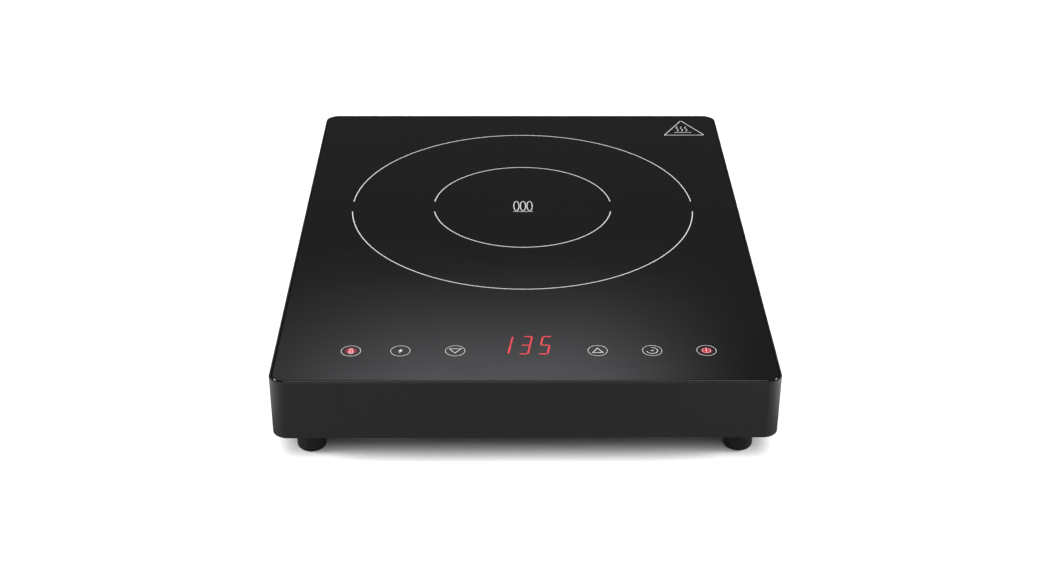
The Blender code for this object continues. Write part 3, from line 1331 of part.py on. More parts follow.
def build_blower():
    """The blower's scroll case and lid."""
    axis = (BLOWER_X, BLOWER_Y, 0.0)
    case = add_piece(
        "blower_case", prism([scroll_outline(BLOWER_WALL, OUTLET_X)], DECK, CASE_TOP), NYLON, axis
    )
    room = prism([scroll_outline(0.0, OUTLET_X + OVER)], DECK + BLOWER_FLOOR, CASE_TOP + OVER)
    cut(case, "air_room", [room])
    cut(case, "inlet", [rod(INLET_RADIUS, DECK - OVER, DECK + BLOWER_FLOOR + OVER, sides=28)])

    lid = add_piece(
        "blower_cover", prism([scroll_outline(BLOWER_WALL, OUTLET_X)], LID_UNDERSIDE, LID_TOP),
        NYLON, axis,
    )
    fuse(lid, "bearing_tube", [rod(TUBE_RADIUS, TUBE_BOTTOM, LID_TOP - BLOWER_LID / 2, sides=14)])
    cut(lid, "bearing", [rod(SHAFT_RADIUS + GAP, TUBE_BOTTOM - OVER, LID_TOP + OVER, sides=12)])


def blade_outline():
    """One forward-curved blade's section, on the X axis, bending towards the clockwise spin.

    Its direction turns steadily from the inlet angle to the outlet angle as it moves outward.
    """
    pieces = 12 * BLADE_STEPS
    raw = [(0.0, 0.0)]
    turn = BLADE_OUTLET_ANGLE - BLADE_INLET_ANGLE
    for i in range(pieces):
        heading = math.radians(BLADE_INLET_ANGLE + turn * (i + 0.5) / pieces)
        raw.append((raw[-1][0] + math.sin(heading), raw[-1][1] + math.cos(heading)))
    stretch = (BLADE_OUTER - BLADE_INNER) / raw[-1][0]
    spine = [(BLADE_INNER + x * stretch, y * stretch) for x, y in raw[:: pieces // BLADE_STEPS]]
    half = BLADE_THICKNESS / 2
    near, far = [], []
    for i, (x, y) in enumerate(spine):
        before = spine[max(i - 1, 0)]
        after = spine[min(i + 1, len(spine) - 1)]
        length = math.hypot(after[0] - before[0], after[1] - before[1])
        across = (-(after[1] - before[1]) / length * half, (after[0] - before[0]) / length * half)
        near.append((x + across[0], y + across[1]))
        far.append((x - across[0], y - across[1]))
    return [*near, *reversed(far)]


def build_wheel():
    """The blower's squirrel-cage wheel, on a shaft that runs in the lid's bearing tube."""
    axis = (BLOWER_X, BLOWER_Y, 0.0)
    floor = HUB_FLOOR_TOP
    boss_top = floor + HUB_BOSS_HEIGHT
    bore = SHAFT_RADIUS + GAP
    bore_floor = HUB_BOTTOM + SHAFT_SOCKET_FLOOR
    under_disc = WHEEL_TOP - WHEEL_DISC
    profile = [
        (0.0, bore_floor), (bore, bore_floor), (bore, boss_top),
        (TUBE_RADIUS, boss_top), (TUBE_RADIUS, floor), (HUB_RADIUS - HUB_WALL, floor),
        (HUB_RADIUS - HUB_WALL, WHEEL_TOP), (WHEEL_RADIUS, WHEEL_TOP), (WHEEL_RADIUS, under_disc),
        (HUB_RADIUS, under_disc), (HUB_RADIUS, floor),
        (HUB_RADIUS - HUB_WALL, HUB_BOTTOM), (0.0, HUB_BOTTOM),
    ]
    wheel = add_turned("blower_impeller", profile, NYLON, axis, steps=BLADE_COUNT)
    sunk = WHEEL_DISC / 3
    outline = blade_outline()
    blades = []
    for i in range(BLADE_COUNT):
        blade = prism([outline], WHEEL_BOTTOM + 2 * sunk, under_disc + sunk)
        blades.append(turned_about_z(blade, 360 * i / BLADE_COUNT))
    fuse(wheel, "blades", blades)
    ring_outlines = [
        arc(radius, 0, 360 - 360 / BLADE_COUNT, BLADE_COUNT - 1)
        for radius in (WHEEL_RADIUS, WHEEL_RADIUS - WHEEL_RING_WIDTH)
    ]
    fuse(wheel, "end_ring", [prism(ring_outlines, WHEEL_BOTTOM, WHEEL_BOTTOM + WHEEL_DISC)])

    shaft_bottom = bore_floor + GAP
    shaft_profile = [
        (0.0, LID_TOP), (SHAFT_RADIUS * 0.6, LID_TOP), (SHAFT_RADIUS, LID_TOP - 0.0005),
        (SHAFT_RADIUS, shaft_bottom), (0.0, shaft_bottom),
    ]
    add_turned("impeller_shaft", shaft_profile, STEEL_SCREW, axis, steps=12)


def build_stator():
    """The motor's wound core, fixed on the bearing tube inside the wheel's hub."""
    low = TUBE_BOTTOM + STATOR_ABOVE_TUBE_END
    waist = STATOR_RADIUS * POLE_WAIST
    root = TUBE_RADIUS + BLOWER_WALL + 2 * GAP
    pole_share = 360 / STATOR_POLES
    head = POLE_HEAD * pole_share
    outline = []
    for pole in range(STATOR_POLES):
        middle = pole * pole_share
        outline.append(polar(root, middle - pole_share / 2)[:2])
        outline.append(polar(waist, middle - POLE_NECK_ANGLE)[:2])
        outline.append(polar(waist, middle - head)[:2])
        outline += arc(STATOR_RADIUS, middle - head, middle + head, 4)
        outline.append(polar(waist, middle + head)[:2])
        outline.append(polar(waist, middle + POLE_NECK_ANGLE)[:2])
    # The bore has flat sides, so it is drawn a little wider than the tube's corners need.
    bore = arc((TUBE_RADIUS + GAP) / math.cos(math.radians(15)), 0, 330, 11)
    core = prism([outline, bore], low, low + STATOR_HEIGHT)
    add_piece("motor_stator", core, LAMINATION, (BLOWER_X, BLOWER_Y, 0.0))


# ---------------------------------------------------------------- the whole hob


def build_hob():
    """Every piece, from the casing inwards."""
    build_housing()
    build_glass()
    build_base_plate()
    build_feet_and_screws()
    build_gland()
    build_tray()
    build_control_board()
    build_display()
    build_touch_springs()
    build_ribbon()
    build_coil()
    build_former()
    build_support()
    build_leads()
    build_power_board()
    build_heatsink()
    build_choke()
    build_board_parts()
    build_blower()
    build_wheel()
    build_stator()


build_hob()
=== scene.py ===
"""Countertop induction hob: its visible pieces, finishes and studio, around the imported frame.

Laid out as a Blender add-on and run as a script. Every length is in metres, apart from names and
tables that say mm. Places come from the frame, so a piece goes where its solid is.
"""

import json
import math

import bmesh
import bpy
from mathutils import Matrix, Vector


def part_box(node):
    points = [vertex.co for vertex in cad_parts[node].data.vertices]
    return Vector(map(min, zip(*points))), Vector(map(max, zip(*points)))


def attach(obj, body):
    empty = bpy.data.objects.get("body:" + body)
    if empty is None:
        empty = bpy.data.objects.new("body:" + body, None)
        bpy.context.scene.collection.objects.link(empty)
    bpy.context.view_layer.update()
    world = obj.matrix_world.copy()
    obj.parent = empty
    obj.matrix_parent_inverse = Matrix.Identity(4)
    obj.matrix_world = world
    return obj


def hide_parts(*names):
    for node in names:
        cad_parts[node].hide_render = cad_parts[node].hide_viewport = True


bl_info = {
    "name": "Induction hob",
    "version": (1, 0, 0),
    "blender": (4, 5, 0),
    "location": "View3D > Sidebar > Hob",
    "description": "Casing, glass, printing, finishes and studio of a countertop induction hob",
    "category": "Object",
}

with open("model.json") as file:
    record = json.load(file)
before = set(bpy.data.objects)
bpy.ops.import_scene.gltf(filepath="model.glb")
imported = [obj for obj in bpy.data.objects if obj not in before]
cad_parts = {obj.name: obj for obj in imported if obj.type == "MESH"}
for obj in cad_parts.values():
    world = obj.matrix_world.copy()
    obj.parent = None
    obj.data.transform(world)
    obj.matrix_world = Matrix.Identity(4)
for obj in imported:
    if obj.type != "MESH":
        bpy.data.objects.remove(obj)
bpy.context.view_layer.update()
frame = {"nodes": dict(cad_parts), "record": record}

MM = 0.001

# ---------------------------------------------------------------- places, from the frame

GAP = 0.3 * MM  # between solids that seat in each other
CASING_LOW, CASING_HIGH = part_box("housing_shell")
GLASS_LOW, GLASS_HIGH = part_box("glass_top")
SEAL_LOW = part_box("glass_seal")[0]
PLATE_LOW, PLATE_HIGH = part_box("base_plate")
FOOT_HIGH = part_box("foot_1")[1]
GLAND_LOW, GLAND_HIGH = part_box("cable_gland")


def middle_of(node):
    """The middle of a node's box."""
    low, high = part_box(node)
    return (low + high) / 2


ZONE = middle_of("mica_sheet")
DISPLAY = middle_of("led_display")
GLAND = middle_of("cable_gland")
KEYS = [middle_of(f"touch_spring_{number}") for number in range(1, 7)]
FEET = [middle_of(f"foot_{number}") for number in range(1, 5)]
BASE_SCREWS = [middle_of(f"base_screw_{number}") for number in range(1, 7)]
BLOWER = middle_of("blower_impeller")

# ---------------------------------------------------------------- colour


def linear(code):
    """Six hex digits of an sRGB colour as linear red, green, blue and 1."""
    channels = [int(code[i : i + 2], 16) / 255 for i in (0, 2, 4)]
    return (
        *[c / 12.92 if c <= 0.04045 else ((c + 0.055) / 1.055) ** 2.4 for c in channels],
        1.0,
    )


# ---------------------------------------------------------------- what a user would change


def length(name, description, millimetres):
    """A length property whose default is given in millimetres."""
    return bpy.props.FloatProperty(
        name=name, description=description, default=millimetres * MM, min=0.0,
        subtype="DISTANCE", unit="LENGTH", precision=5,
    )


def colour(name, description, code):
    """A colour property whose default is six hex digits of sRGB."""
    return bpy.props.FloatVectorProperty(
        name=name, description=description, default=linear(code), size=4, min=0.0, max=1.0,
        subtype="COLOR",
    )


class HobSizes(bpy.types.PropertyGroup):
    """Sizes of the visible pieces."""

    casing_corner: length("Casing corner", "Radius of the casing's upright corners", 9.0)
    casing_wall: length("Casing wall", "Thickness of the casing's side walls", 2.4)
    casing_foot_round: length("Casing lower edge", "Rounding of the casing's lower edge", 0.8)
    rim_width: length("Rim width", "Width of the casing's rim around the glass", 1.2)
    rim_round: length("Rim rounding", "Rounding of the rim's outer edge", 0.4)
    ledge_reach: length("Ledge reach", "How far the ledge under the glass reaches in", 10.0)
    slot_width: length("Vent slot width", "Width of one slot in the rear wall", 3.2)
    slot_height: length("Vent slot height", "Height of one slot in the rear wall", 20.0)
    slot_pitch: length("Vent slot pitch", "Distance from slot to slot", 8.0)
    slot_count: bpy.props.IntProperty(
        name="Vent slots", description="How many slots the rear wall has", default=22, min=0
    )
    glass_edge: length("Glass edge", "Radius of the glass's ground and polished edge", 0.9)
    zone_radius: length("Zone ring", "Radius of the cooking zone's outer ring", 114.0)
    inner_radius: length("Inner ring", "Radius of the ring for small pans", 59.5)
    zone_line: length("Ring line", "Line width of both rings", 0.62)
    key_radius: length("Key ring", "Radius of the ring round each key", 5.6)
    key_line: length("Key line", "Line width of the key rings and symbols", 0.29)
    sign_line: length("Sign line", "Line width of the hot surface sign", 0.55)
    digit_height: length("Digit height", "Height of a digit between stroke middles", 19.2)
    digit_width: length("Digit width", "Width of a digit between stroke middles", 5.1)
    digit_pitch: length("Digit pitch", "Distance from digit to digit", 11.35)
    digit_stroke: length("Digit stroke", "Width of a digit's segments", 1.05)
    digit_slant: bpy.props.FloatProperty(
        name="Digit slant", description="How far the digits lean to the right",
        default=math.radians(8), subtype="ANGLE", unit="ROTATION",
    )
    foot_radius: length("Foot radius", "Radius of a rubber foot at its top", 9.2)
    foot_round: length("Foot rounding", "Rounding of a foot's lower edge", 2.2)


class HobColours(bpy.types.PropertyGroup):
    """Colours of the visible finishes."""

    casing: colour("Casing", "Black ABS of the casing", "1C1B1C")
    glass: colour("Glass", "Black glass-ceramic of the top", "070708")
    printing: colour("Printing", "Light grey ceramic print on the glass", "BBBCBD")
    lit: colour("Lit red", "Red light of the display and the lit keys", "EA3545")
    lit_core: colour("Lit core", "Brightest part of a lit key", "FFC4CC")
    rubber: colour("Rubber", "Black rubber of the feet", "19191B")
    floor: colour("Floor", "White sweep that the hob stands on", "F4F4F4")


# ---------------------------------------------------------------- shapes, as bmeshes

CORNER_STEPS = 14
SMALLEST_CORNER = 0.4 * MM
OVER = 1 * MM  # how far a cutter sticks out of what it cuts
LIFT = 0.03 * MM  # thickness of what is printed on the glass
SUNK = 0.02 * MM  # how far printing reaches into the glass


def rounded_outline(width, depth, radius, steps=CORNER_STEPS, centre=(0.0, 0.0)):
    """Points round a rectangle with rounded corners, anticlockwise."""
    points = []
    for quarter, (side, row) in enumerate(((1, 1), (-1, 1), (-1, -1), (1, -1))):
        x = centre[0] + side * (width / 2 - radius)
        y = centre[1] + row * (depth / 2 - radius)
        for i in range(steps + 1):
            angle = math.radians(90 * (quarter + i / steps))
            points.append((x + radius * math.cos(angle), y + radius * math.sin(angle)))
    return points


def stadium(width, depth, centre=(0.0, 0.0), steps=5):
    """Points round a slot with round ends."""
    radius = min(width, depth) / 2 - 0.01 * MM
    return rounded_outline(width, depth, radius, steps, centre)


def arc_points(radius, start, end, steps, centre=(0.0, 0.0)):
    """Points along an arc, its angles in degrees, both ends included."""
    angles = [math.radians(start + (end - start) * i / steps) for i in range(steps + 1)]
    return [(centre[0] + radius * math.cos(a), centre[1] + radius * math.sin(a)) for a in angles]


def box_outline(width, depth):
    """Points round a rectangle about the origin."""
    x, y = width / 2, depth / 2
    return [(-x, -y), (x, -y), (x, y), (-x, y)]


def disc(radius, steps, centre=(0.0, 0.0)):
    """Points round a circle."""
    return arc_points(radius, 0, 360 * (steps - 1) / steps, steps - 1, centre)


def skin(shape, rings, closed):
    """Faces between rings of points. A closed run joins its last ring to its first one."""
    made = [[shape.verts.new(point) for point in ring] for ring in rings]
    pairs = list(zip(made, made[1:]))
    if closed:
        pairs.append((made[-1], made[0]))
    for lower, upper in pairs:
        for i in range(len(lower)):
            j = (i + 1) % len(lower)
            shape.faces.new((lower[i], lower[j], upper[j], upper[i]))
    if not closed:
        shape.faces.new(list(reversed(made[0])))
        shape.faces.new(made[-1])
    return shape


def frame_sweep(width, depth, radius, section, closed, steps=CORNER_STEPS):
    """A section of (inset, height) points carried round a rounded rectangle."""
    rings = []
    for inset, height in section:
        corner = max(radius - inset, SMALLEST_CORNER)
        outline = rounded_outline(width - 2 * inset, depth - 2 * inset, corner, steps)
        rings.append([(x, y, height) for x, y in outline])
    return skin(bmesh.new(), rings, closed)


def prism(outline, low, high):
    """A flat outline raised from low to high."""
    rings = [[(x, y, level) for x, y in outline] for level in (low, high)]
    return skin(bmesh.new(), rings, False)


def turned(section, steps, closed, flutes=0, depth=0.0):
    """A section of (radius, height) points turned about Z. Flutes press in the given depth."""
    rings = []
    for radius, height in section:
        ring = []
        for i in range(steps):
            angle = 2 * math.pi * i / steps
            press = depth * (0.5 - 0.5 * math.cos(flutes * angle)) if flutes else 0.0
            reach = max(radius - press, 0.02 * MM)
            ring.append((reach * math.cos(angle), reach * math.sin(angle), height))
        rings.append(ring)
    return skin(bmesh.new(), rings, closed)


def stroke(points, width, low, high, closed=False):
    """A drawn line of even width along flat points, with mitred corners, raised to high."""
    count = len(points)
    rails = ([], [])
    for i, (x, y) in enumerate(points):
        before = points[i - 1] if closed or i else None
        after = points[(i + 1) % count] if closed or i < count - 1 else None
        runs = []
        if before:
            runs.append(Vector((x - before[0], y - before[1])).normalized())
        if after:
            runs.append(Vector((after[0] - x, after[1] - y)).normalized())
        along = sum(runs, Vector((0.0, 0.0))).normalized()
        across = Vector((-along.y, along.x))
        reach = width / 2 / max(abs(along.dot(runs[0])), 0.45)
        rails[0].append((x + across.x * reach, y + across.y * reach))
        rails[1].append((x - across.x * reach, y - across.y * reach))
    shape = bmesh.new()
    rings = []
    for left, right in zip(*rails):
        rings.append([(*left, low), (*right, low), (*right, high), (*left, high)])
    return skin(shape, rings, closed)


def placed(shape, x=0.0, y=0.0, z=0.0):
    """The shape, shifted."""
    bmesh.ops.translate(shape, verts=shape.verts, vec=(x, y, z))
    return shape


def laid_back(shape):
    """The shape, with its upright axis laid over to point along +Y."""
    turn = Matrix.Rotation(-math.pi / 2, 3, "X")
    bmesh.ops.rotate(shape, verts=shape.verts, cent=(0, 0, 0), matrix=turn)
    return shape


def joined(shapes):
    """One bmesh that holds all the shapes."""
    whole = bmesh.new()
    for shape in shapes:
        mesh = bpy.data.meshes.new("shape")
        shape.to_mesh(mesh)
        shape.free()
        whole.from_mesh(mesh)
        bpy.data.meshes.remove(mesh)
    return whole


# ---------------------------------------------------------------- objects


def object_from(name, shape):
    """A linked object from a bmesh, its faces facing out."""
    bmesh.ops.recalc_face_normals(shape, faces=shape.faces)
    mesh = bpy.data.meshes.new(name)
    shape.to_mesh(mesh)
    shape.free()
    made = bpy.data.objects.new(name, mesh)
    bpy.context.scene.collection.objects.link(made)
    return made


def carve(piece, steps):
    """Applies Booleans to the piece: each step is an operation and the shapes it uses."""
    for operation, shapes in steps:
        helper = object_from(f"{piece.name}_helper", joined(shapes))
        modifier = piece.modifiers.new("carve", "BOOLEAN")
        modifier.operation = operation
        modifier.solver = "EXACT"
        modifier.object = helper
        graph = bpy.context.evaluated_depsgraph_get()
        mesh = bpy.data.meshes.new_from_object(piece.evaluated_get(graph))
        piece.modifiers.remove(modifier)
        before = piece.data
        piece.data = mesh
        mesh.name = piece.name
        bpy.data.meshes.remove(before)
        bpy.data.objects.remove(helper)


def finish_piece(piece, material, body="base", stands_for=(), sharp_from=32):
    """Gives a piece its material and shading, and ties it to its body."""
    piece.data.materials.clear()
    piece.data.materials.append(material)
    piece.data.shade_smooth()
    piece.data.set_sharp_from_angle(angle=math.radians(sharp_from))
    weights = piece.modifiers.new("even_shading", "WEIGHTED_NORMAL")
    weights.keep_sharp = True
    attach(piece, body)
    if stands_for:
        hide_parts(*stands_for)
    return piece


# ---------------------------------------------------------------- finishes

GLASS_IOR = 1.53


def add_node(tree, kind, inputs=None, **settings):
    """Adds a node with its settings. An input is a value or the output socket it is linked to."""
    made = tree.nodes.new(kind)
    for key, value in settings.items():
        setattr(made, key, value)
    for socket, source in (inputs or {}).items():
        if isinstance(source, bpy.types.NodeSocket):
            tree.links.new(source, made.inputs[socket])
        else:
            made.inputs[socket].default_value = source
    return made


def new_finish(name, base, roughness, metallic=0.0, **sockets):
    """A Principled material and its tree, shader and object coordinates."""
    material = bpy.data.materials.new(name)
    material.use_nodes = True
    tree = material.node_tree
    shader = tree.nodes["Principled BSDF"]
    shader.inputs["Base Color"].default_value = base
    shader.inputs["Roughness"].default_value = roughness
    shader.inputs["Metallic"].default_value = metallic
    for socket, value in sockets.items():
        shader.inputs[socket.replace("_", " ")].default_value = value
    material.diffuse_color = base
    place = add_node(tree, "ShaderNodeTexCoord").outputs["Object"]
    return material, tree, shader, place


def per_mm(size):
    """A texture scale whose pattern repeats about every size millimetres."""
    return 1.0 / (size * MM)


def spread(tree, source, low, high, start=0.3, end=0.7):
    """The source's start to end stretched to low to high."""
    inputs = {"Value": source, "From Min": start, "From Max": end, "To Min": low, "To Max": high}
    return add_node(tree, "ShaderNodeMapRange", inputs).outputs["Result"]


def blend_colours(tree, source, dark, light, start=0.35, end=0.65):
    """A ramp from dark to light over the source's start to end."""
    ramp = add_node(tree, "ShaderNodeValToRGB", {"Fac": source})
    ramp.color_ramp.elements[0].position = start
    ramp.color_ramp.elements[1].position = end
    ramp.color_ramp.elements[0].color = dark
    ramp.color_ramp.elements[1].color = light
    return ramp.outputs["Color"]


def shade(base, factor):
    """The colour, lighter or darker."""
    return (*[min(channel * factor, 1.0) for channel in base[:3]], 1.0)


def calculate(tree, operation, *values):
    """The result of a Math node."""
    inputs = dict(enumerate(values))
    return add_node(tree, "ShaderNodeMath", inputs, operation=operation).outputs[0]


def dress(tree, shader, base, tone, dark, light, gloss=None, bump=None, ends=(0.35, 0.65)):
    """Links a finish's colour, roughness and bump to its patterns.

    The tone pattern runs from dark to light times the base colour. Gloss holds a pattern and the
    roughness at its two ends, and bump a pattern, a strength and a depth in mm.
    """
    shades = blend_colours(tree, tone, shade(base, dark), shade(base, light), *ends)
    tree.links.new(shades, shader.inputs["Base Color"])
    if gloss:
        tree.links.new(spread(tree, *gloss), shader.inputs["Roughness"])
    if bump:
        height, strength, depth = bump
        inputs = {"Height": height, "Strength": strength, "Distance": depth * MM}
        normal = add_node(tree, "ShaderNodeBump", inputs).outputs["Normal"]
        tree.links.new(normal, shader.inputs["Normal"])


def casing_finish():
    """ABS, moulded against a spark-eroded tool.

    The eye sees satin black with a fine even grain that breaks up reflections, and a trace of
    uneven gloss where the plastic flowed.
    """
    base = tuple(bpy.context.scene.hob_colours.casing)
    material, tree, shader, place = new_finish(
        "abs_spark_eroded_black", base, 0.45, Specular_IOR_Level=0.3
    )
    # The real grain is about 0.1 mm and doesn't show at this distance, so it is drawn at 0.45 mm.
    grain = add_node(
        tree, "ShaderNodeTexNoise", {"Vector": place, "Scale": per_mm(0.45), "Detail": 3.0}
    ).outputs[0]
    flow = add_node(
        tree, "ShaderNodeTexNoise", {"Vector": place, "Scale": per_mm(38), "Detail": 2.0}
    ).outputs[0]
    dress(tree, shader, base, grain, 0.82, 1.22, (flow, 0.40, 0.52), (grain, 0.35, 0.03))
    return material


def glass_finish():
    """Glass-ceramic, rolled, ceramed and polished by fire.

    The eye sees a deep black with sharp reflections at a low angle, and very faint wiping marks
    that haze the gloss here and there.
    """
    base = tuple(bpy.context.scene.hob_colours.glass)
    material, tree, shader, place = new_finish(
        "glass_ceramic_rolled_black", base, 0.07, IOR=GLASS_IOR
    )
    stretch = {"Vector": place, "Scale": (1.0, 3.2, 1.0)}
    wiped = add_node(tree, "ShaderNodeMapping", stretch).outputs["Vector"]
    haze = add_node(
        tree, "ShaderNodeTexNoise",
        {"Vector": wiped, "Scale": per_mm(55), "Detail": 5.0, "Distortion": 0.6},
    ).outputs[0]
    depth = add_node(
        tree, "ShaderNodeTexNoise", {"Vector": place, "Scale": per_mm(120), "Detail": 1.0}
    ).outputs[0]
    dress(tree, shader, base, depth, 0.9, 1.1, (haze, 0.05, 0.10))
    return material


def print_finish():
    """Ceramic colour, screen printed and fired onto the glass.

    The eye sees an opaque, slightly chalky light grey with a fine speckle from the screen.
    """
    base = tuple(bpy.context.scene.hob_colours.printing)
    material, tree, shader, place = new_finish("ceramic_colour_fired", base, 0.42)
    speckle = add_node(
        tree, "ShaderNodeTexNoise", {"Vector": place, "Scale": per_mm(0.5), "Detail": 2.0}
    ).outputs[0]
    dress(tree, shader, base, speckle, 0.9, 1.08, bump=(speckle, 0.4, 0.01))
    return material


def lit_finish(name, tint, strength, patch=1.6):
    """Tinted polycarbonate lit from behind by a lamp.

    The eye sees red light that is a little uneven along each stroke, under a glossy surface.
    """
    material, tree, shader, place = new_finish(name, shade(tint, 0.15), 0.12)
    patches = add_node(
        tree, "ShaderNodeTexNoise", {"Vector": place, "Scale": per_mm(patch), "Detail": 1.0}
    ).outputs[0]
    tone = blend_colours(tree, patches, shade(tint, 0.8), shade(tint, 1.15))
    tree.links.new(tone, shader.inputs["Emission Color"])
    shader.inputs["Emission Strength"].default_value = strength
    return material


def glow_finish(reach):
    """Red light that scatters in the glass round a lit key, fading out over its reach."""
    tint = tuple(bpy.context.scene.hob_colours.lit)
    base = tuple(bpy.context.scene.hob_colours.glass)
    material, tree, shader, place = new_finish("glass_ceramic_lit", base, 0.08, IOR=GLASS_IOR)
    away = add_node(tree, "ShaderNodeVectorMath", {0: place}, operation="LENGTH").outputs["Value"]
    nearness = spread(tree, away, 1.0, 0.0, 0.2 * reach, reach)
    fall = calculate(tree, "POWER", nearness, 1.7)
    tone = blend_colours(tree, fall, (0.0, 0.0, 0.0, 1.0), shade(tint, 0.9), 0.0, 1.0)
    tree.links.new(tone, shader.inputs["Emission Color"])
    shader.inputs["Emission Strength"].default_value = 1.15
    return material


def rubber_finish():
    """Rubber, compression moulded.

    The eye sees a dull black with a soft bloom, and a fine pitted skin.
    """
    base = tuple(bpy.context.scene.hob_colours.rubber)
    material, tree, shader, place = new_finish(
        "rubber_moulded_black", base, 0.62, Specular_IOR_Level=0.35
    )
    bloom = add_node(
        tree, "ShaderNodeTexNoise", {"Vector": place, "Scale": per_mm(6), "Detail": 4.0}
    ).outputs[0]
    pits = add_node(
        tree, "ShaderNodeTexVoronoi", {"Vector": place, "Scale": per_mm(0.6)}
    ).outputs["Distance"]
    dress(tree, shader, base, bloom, 0.8, 1.35, (bloom, 0.55, 0.72), (pits, 0.3, 0.05))
    return material


# Finishes that follow one recipe: a base colour with a lighter and a darker tone, a pattern of a
# real size, and a bump. Columns: name, hex, roughness from and to, metallic, pattern, its size in
# mm, bump depth in mm, and how far the tones reach each way.
PLAIN_FINISHES = {
    # Silicone, extruded bead: soft, dull and faintly dusty.
    "black_silicone": ("silicone_extruded_black", "17171A", 0.6, 0.75, 0, "grain", 1.2, 0.02, 0.2),
    # Steel sheet, hot-dip zinc coated: pale grey with the crystals of the zinc as flat patches.
    "zinc_sheet": ("steel_hot_dip_zinc", "A9ADB1", 0.30, 0.42, 1, "crystals", 9.0, 0.01, 0.08),
    # Steel, cold headed and zinc plated: bright, with fine turning marks.
    "steel_screw": ("steel_zinc_plated", "B9BCC0", 0.22, 0.36, 1, "streaks", 0.7, 0.01, 0.12),
    # Nylon with glass fibre, moulded: black with a slightly mottled skin of fibres.
    "black_nylon": ("nylon_glass_filled_black", "202022", 0.48, 0.62, 0, "grain", 0.8, 0.03, 0.3),
    # ABS, moulded in its natural colour: warm ivory with faint flow marks.
    "tray_plastic": ("abs_moulded_ivory", "D9D7CF", 0.45, 0.56, 0, "grain", 14.0, 0.01, 0.05),
    # Epoxy-glass laminate under green solder resist: glossy, with the woven glass just showing.
    "circuit_board": ("epoxy_glass_green_resist", "2E5B3C", 0.3, 0.45, 0, "weave", 1.6, 0.01, 0.18),
    # Polycarbonate, moulded and tinted: dark and glossy.
    "display_plastic": ("polycarbonate_tinted", "3A2A2C", 0.2, 0.35, 0, "grain", 4.0, 0.005, 0.15),
    # Spring steel, drawn and nickel plated: bright wire with lengthwise drawing marks.
    "spring_steel": ("steel_drawn_nickel", "C9C6BE", 0.16, 0.3, 1, "streaks", 0.4, 0.005, 0.1),
    # PVC flat cable, extruded: grey ridges, one for each conductor.
    "ribbon_plastic": ("pvc_flat_cable_grey", "B8B8B4", 0.5, 0.6, 0, "ribs", 1.27, 0.08, 0.15),
    # Mica paper, pressed with silicone: golden flakes with a pearly shine.
    "mica": ("mica_paper_pressed", "B59B6B", 0.3, 0.6, 0, "crystals", 2.2, 0.01, 0.25),
    # Copper litz, enamelled and twisted: bright strands that wind round the bundle.
    "copper_litz": ("copper_litz_enamelled", "B06A3B", 0.3, 0.5, 1, "ribs", 0.8, 0.12, 0.35),
    # Phenolic resin, moulded: brown-black, with pale filler specks.
    "former_plastic": ("phenolic_moulded", "33312E", 0.5, 0.68, 0, "grain", 1.0, 0.02, 0.35),
    # Manganese-zinc ferrite, pressed, sintered and ground: charcoal with open pores.
    "ferrite": ("ferrite_sintered", "3B3B3E", 0.55, 0.7, 0, "grain", 0.5, 0.03, 0.3),
    # Aluminium, rolled or extruded, mill finish: soft grey with long die lines.
    "aluminium": ("aluminium_mill_finish", "C4C7CA", 0.28, 0.44, 1, "streaks", 0.9, 0.01, 0.1),
    # Nylon, moulded natural: milky white.
    "post_nylon": ("nylon_moulded_natural", "E4E1D6", 0.45, 0.55, 0, "grain", 5.0, 0.01, 0.06),
    # Silicone, moulded, with white filler: pale and dull.
    "cap_silicone": ("silicone_moulded_pale", "C9C3B8", 0.6, 0.72, 0, "grain", 2.0, 0.01, 0.08),
    # Epoxy, transfer moulded: black with a fine matt skin from the tool.
    "black_epoxy": ("epoxy_transfer_moulded", "1B1B1D", 0.45, 0.58, 0, "grain", 0.4, 0.02, 0.25),
    # Polyester case of a film capacitor, moulded: yellow and half glossy.
    "film_capacitor": ("polyester_moulded_yellow", "D8C24A", 0.35, 0.48, 0, "grain", 3.0, 0.01, 0.1),
    # Polyester case of a suppressor, moulded: dark red and half glossy.
    "suppressor_capacitor": ("polyester_moulded_red", "8E2F2A", 0.35, 0.48, 0, "grain", 3.0, 0.01, 0.12),
    # Polyamide, moulded: green, slightly waxy.
    "terminal_plastic": ("polyamide_moulded_green", "3F7F4C", 0.42, 0.55, 0, "grain", 3.0, 0.01, 0.1),
    # Silicon steel laminations, punched and stacked: grey layers with dark varnish between.
    "lamination": ("silicon_steel_stacked", "6F7277", 0.35, 0.55, 1, "layers", 0.8, 0.05, 0.35),
    # Glass-fibre braid, silicone treated: off-white crossed yarns.
    "lead_sleeve": ("glass_braid_sleeve", "D9D5CB", 0.55, 0.7, 0, "weave", 0.9, 0.08, 0.15),
}


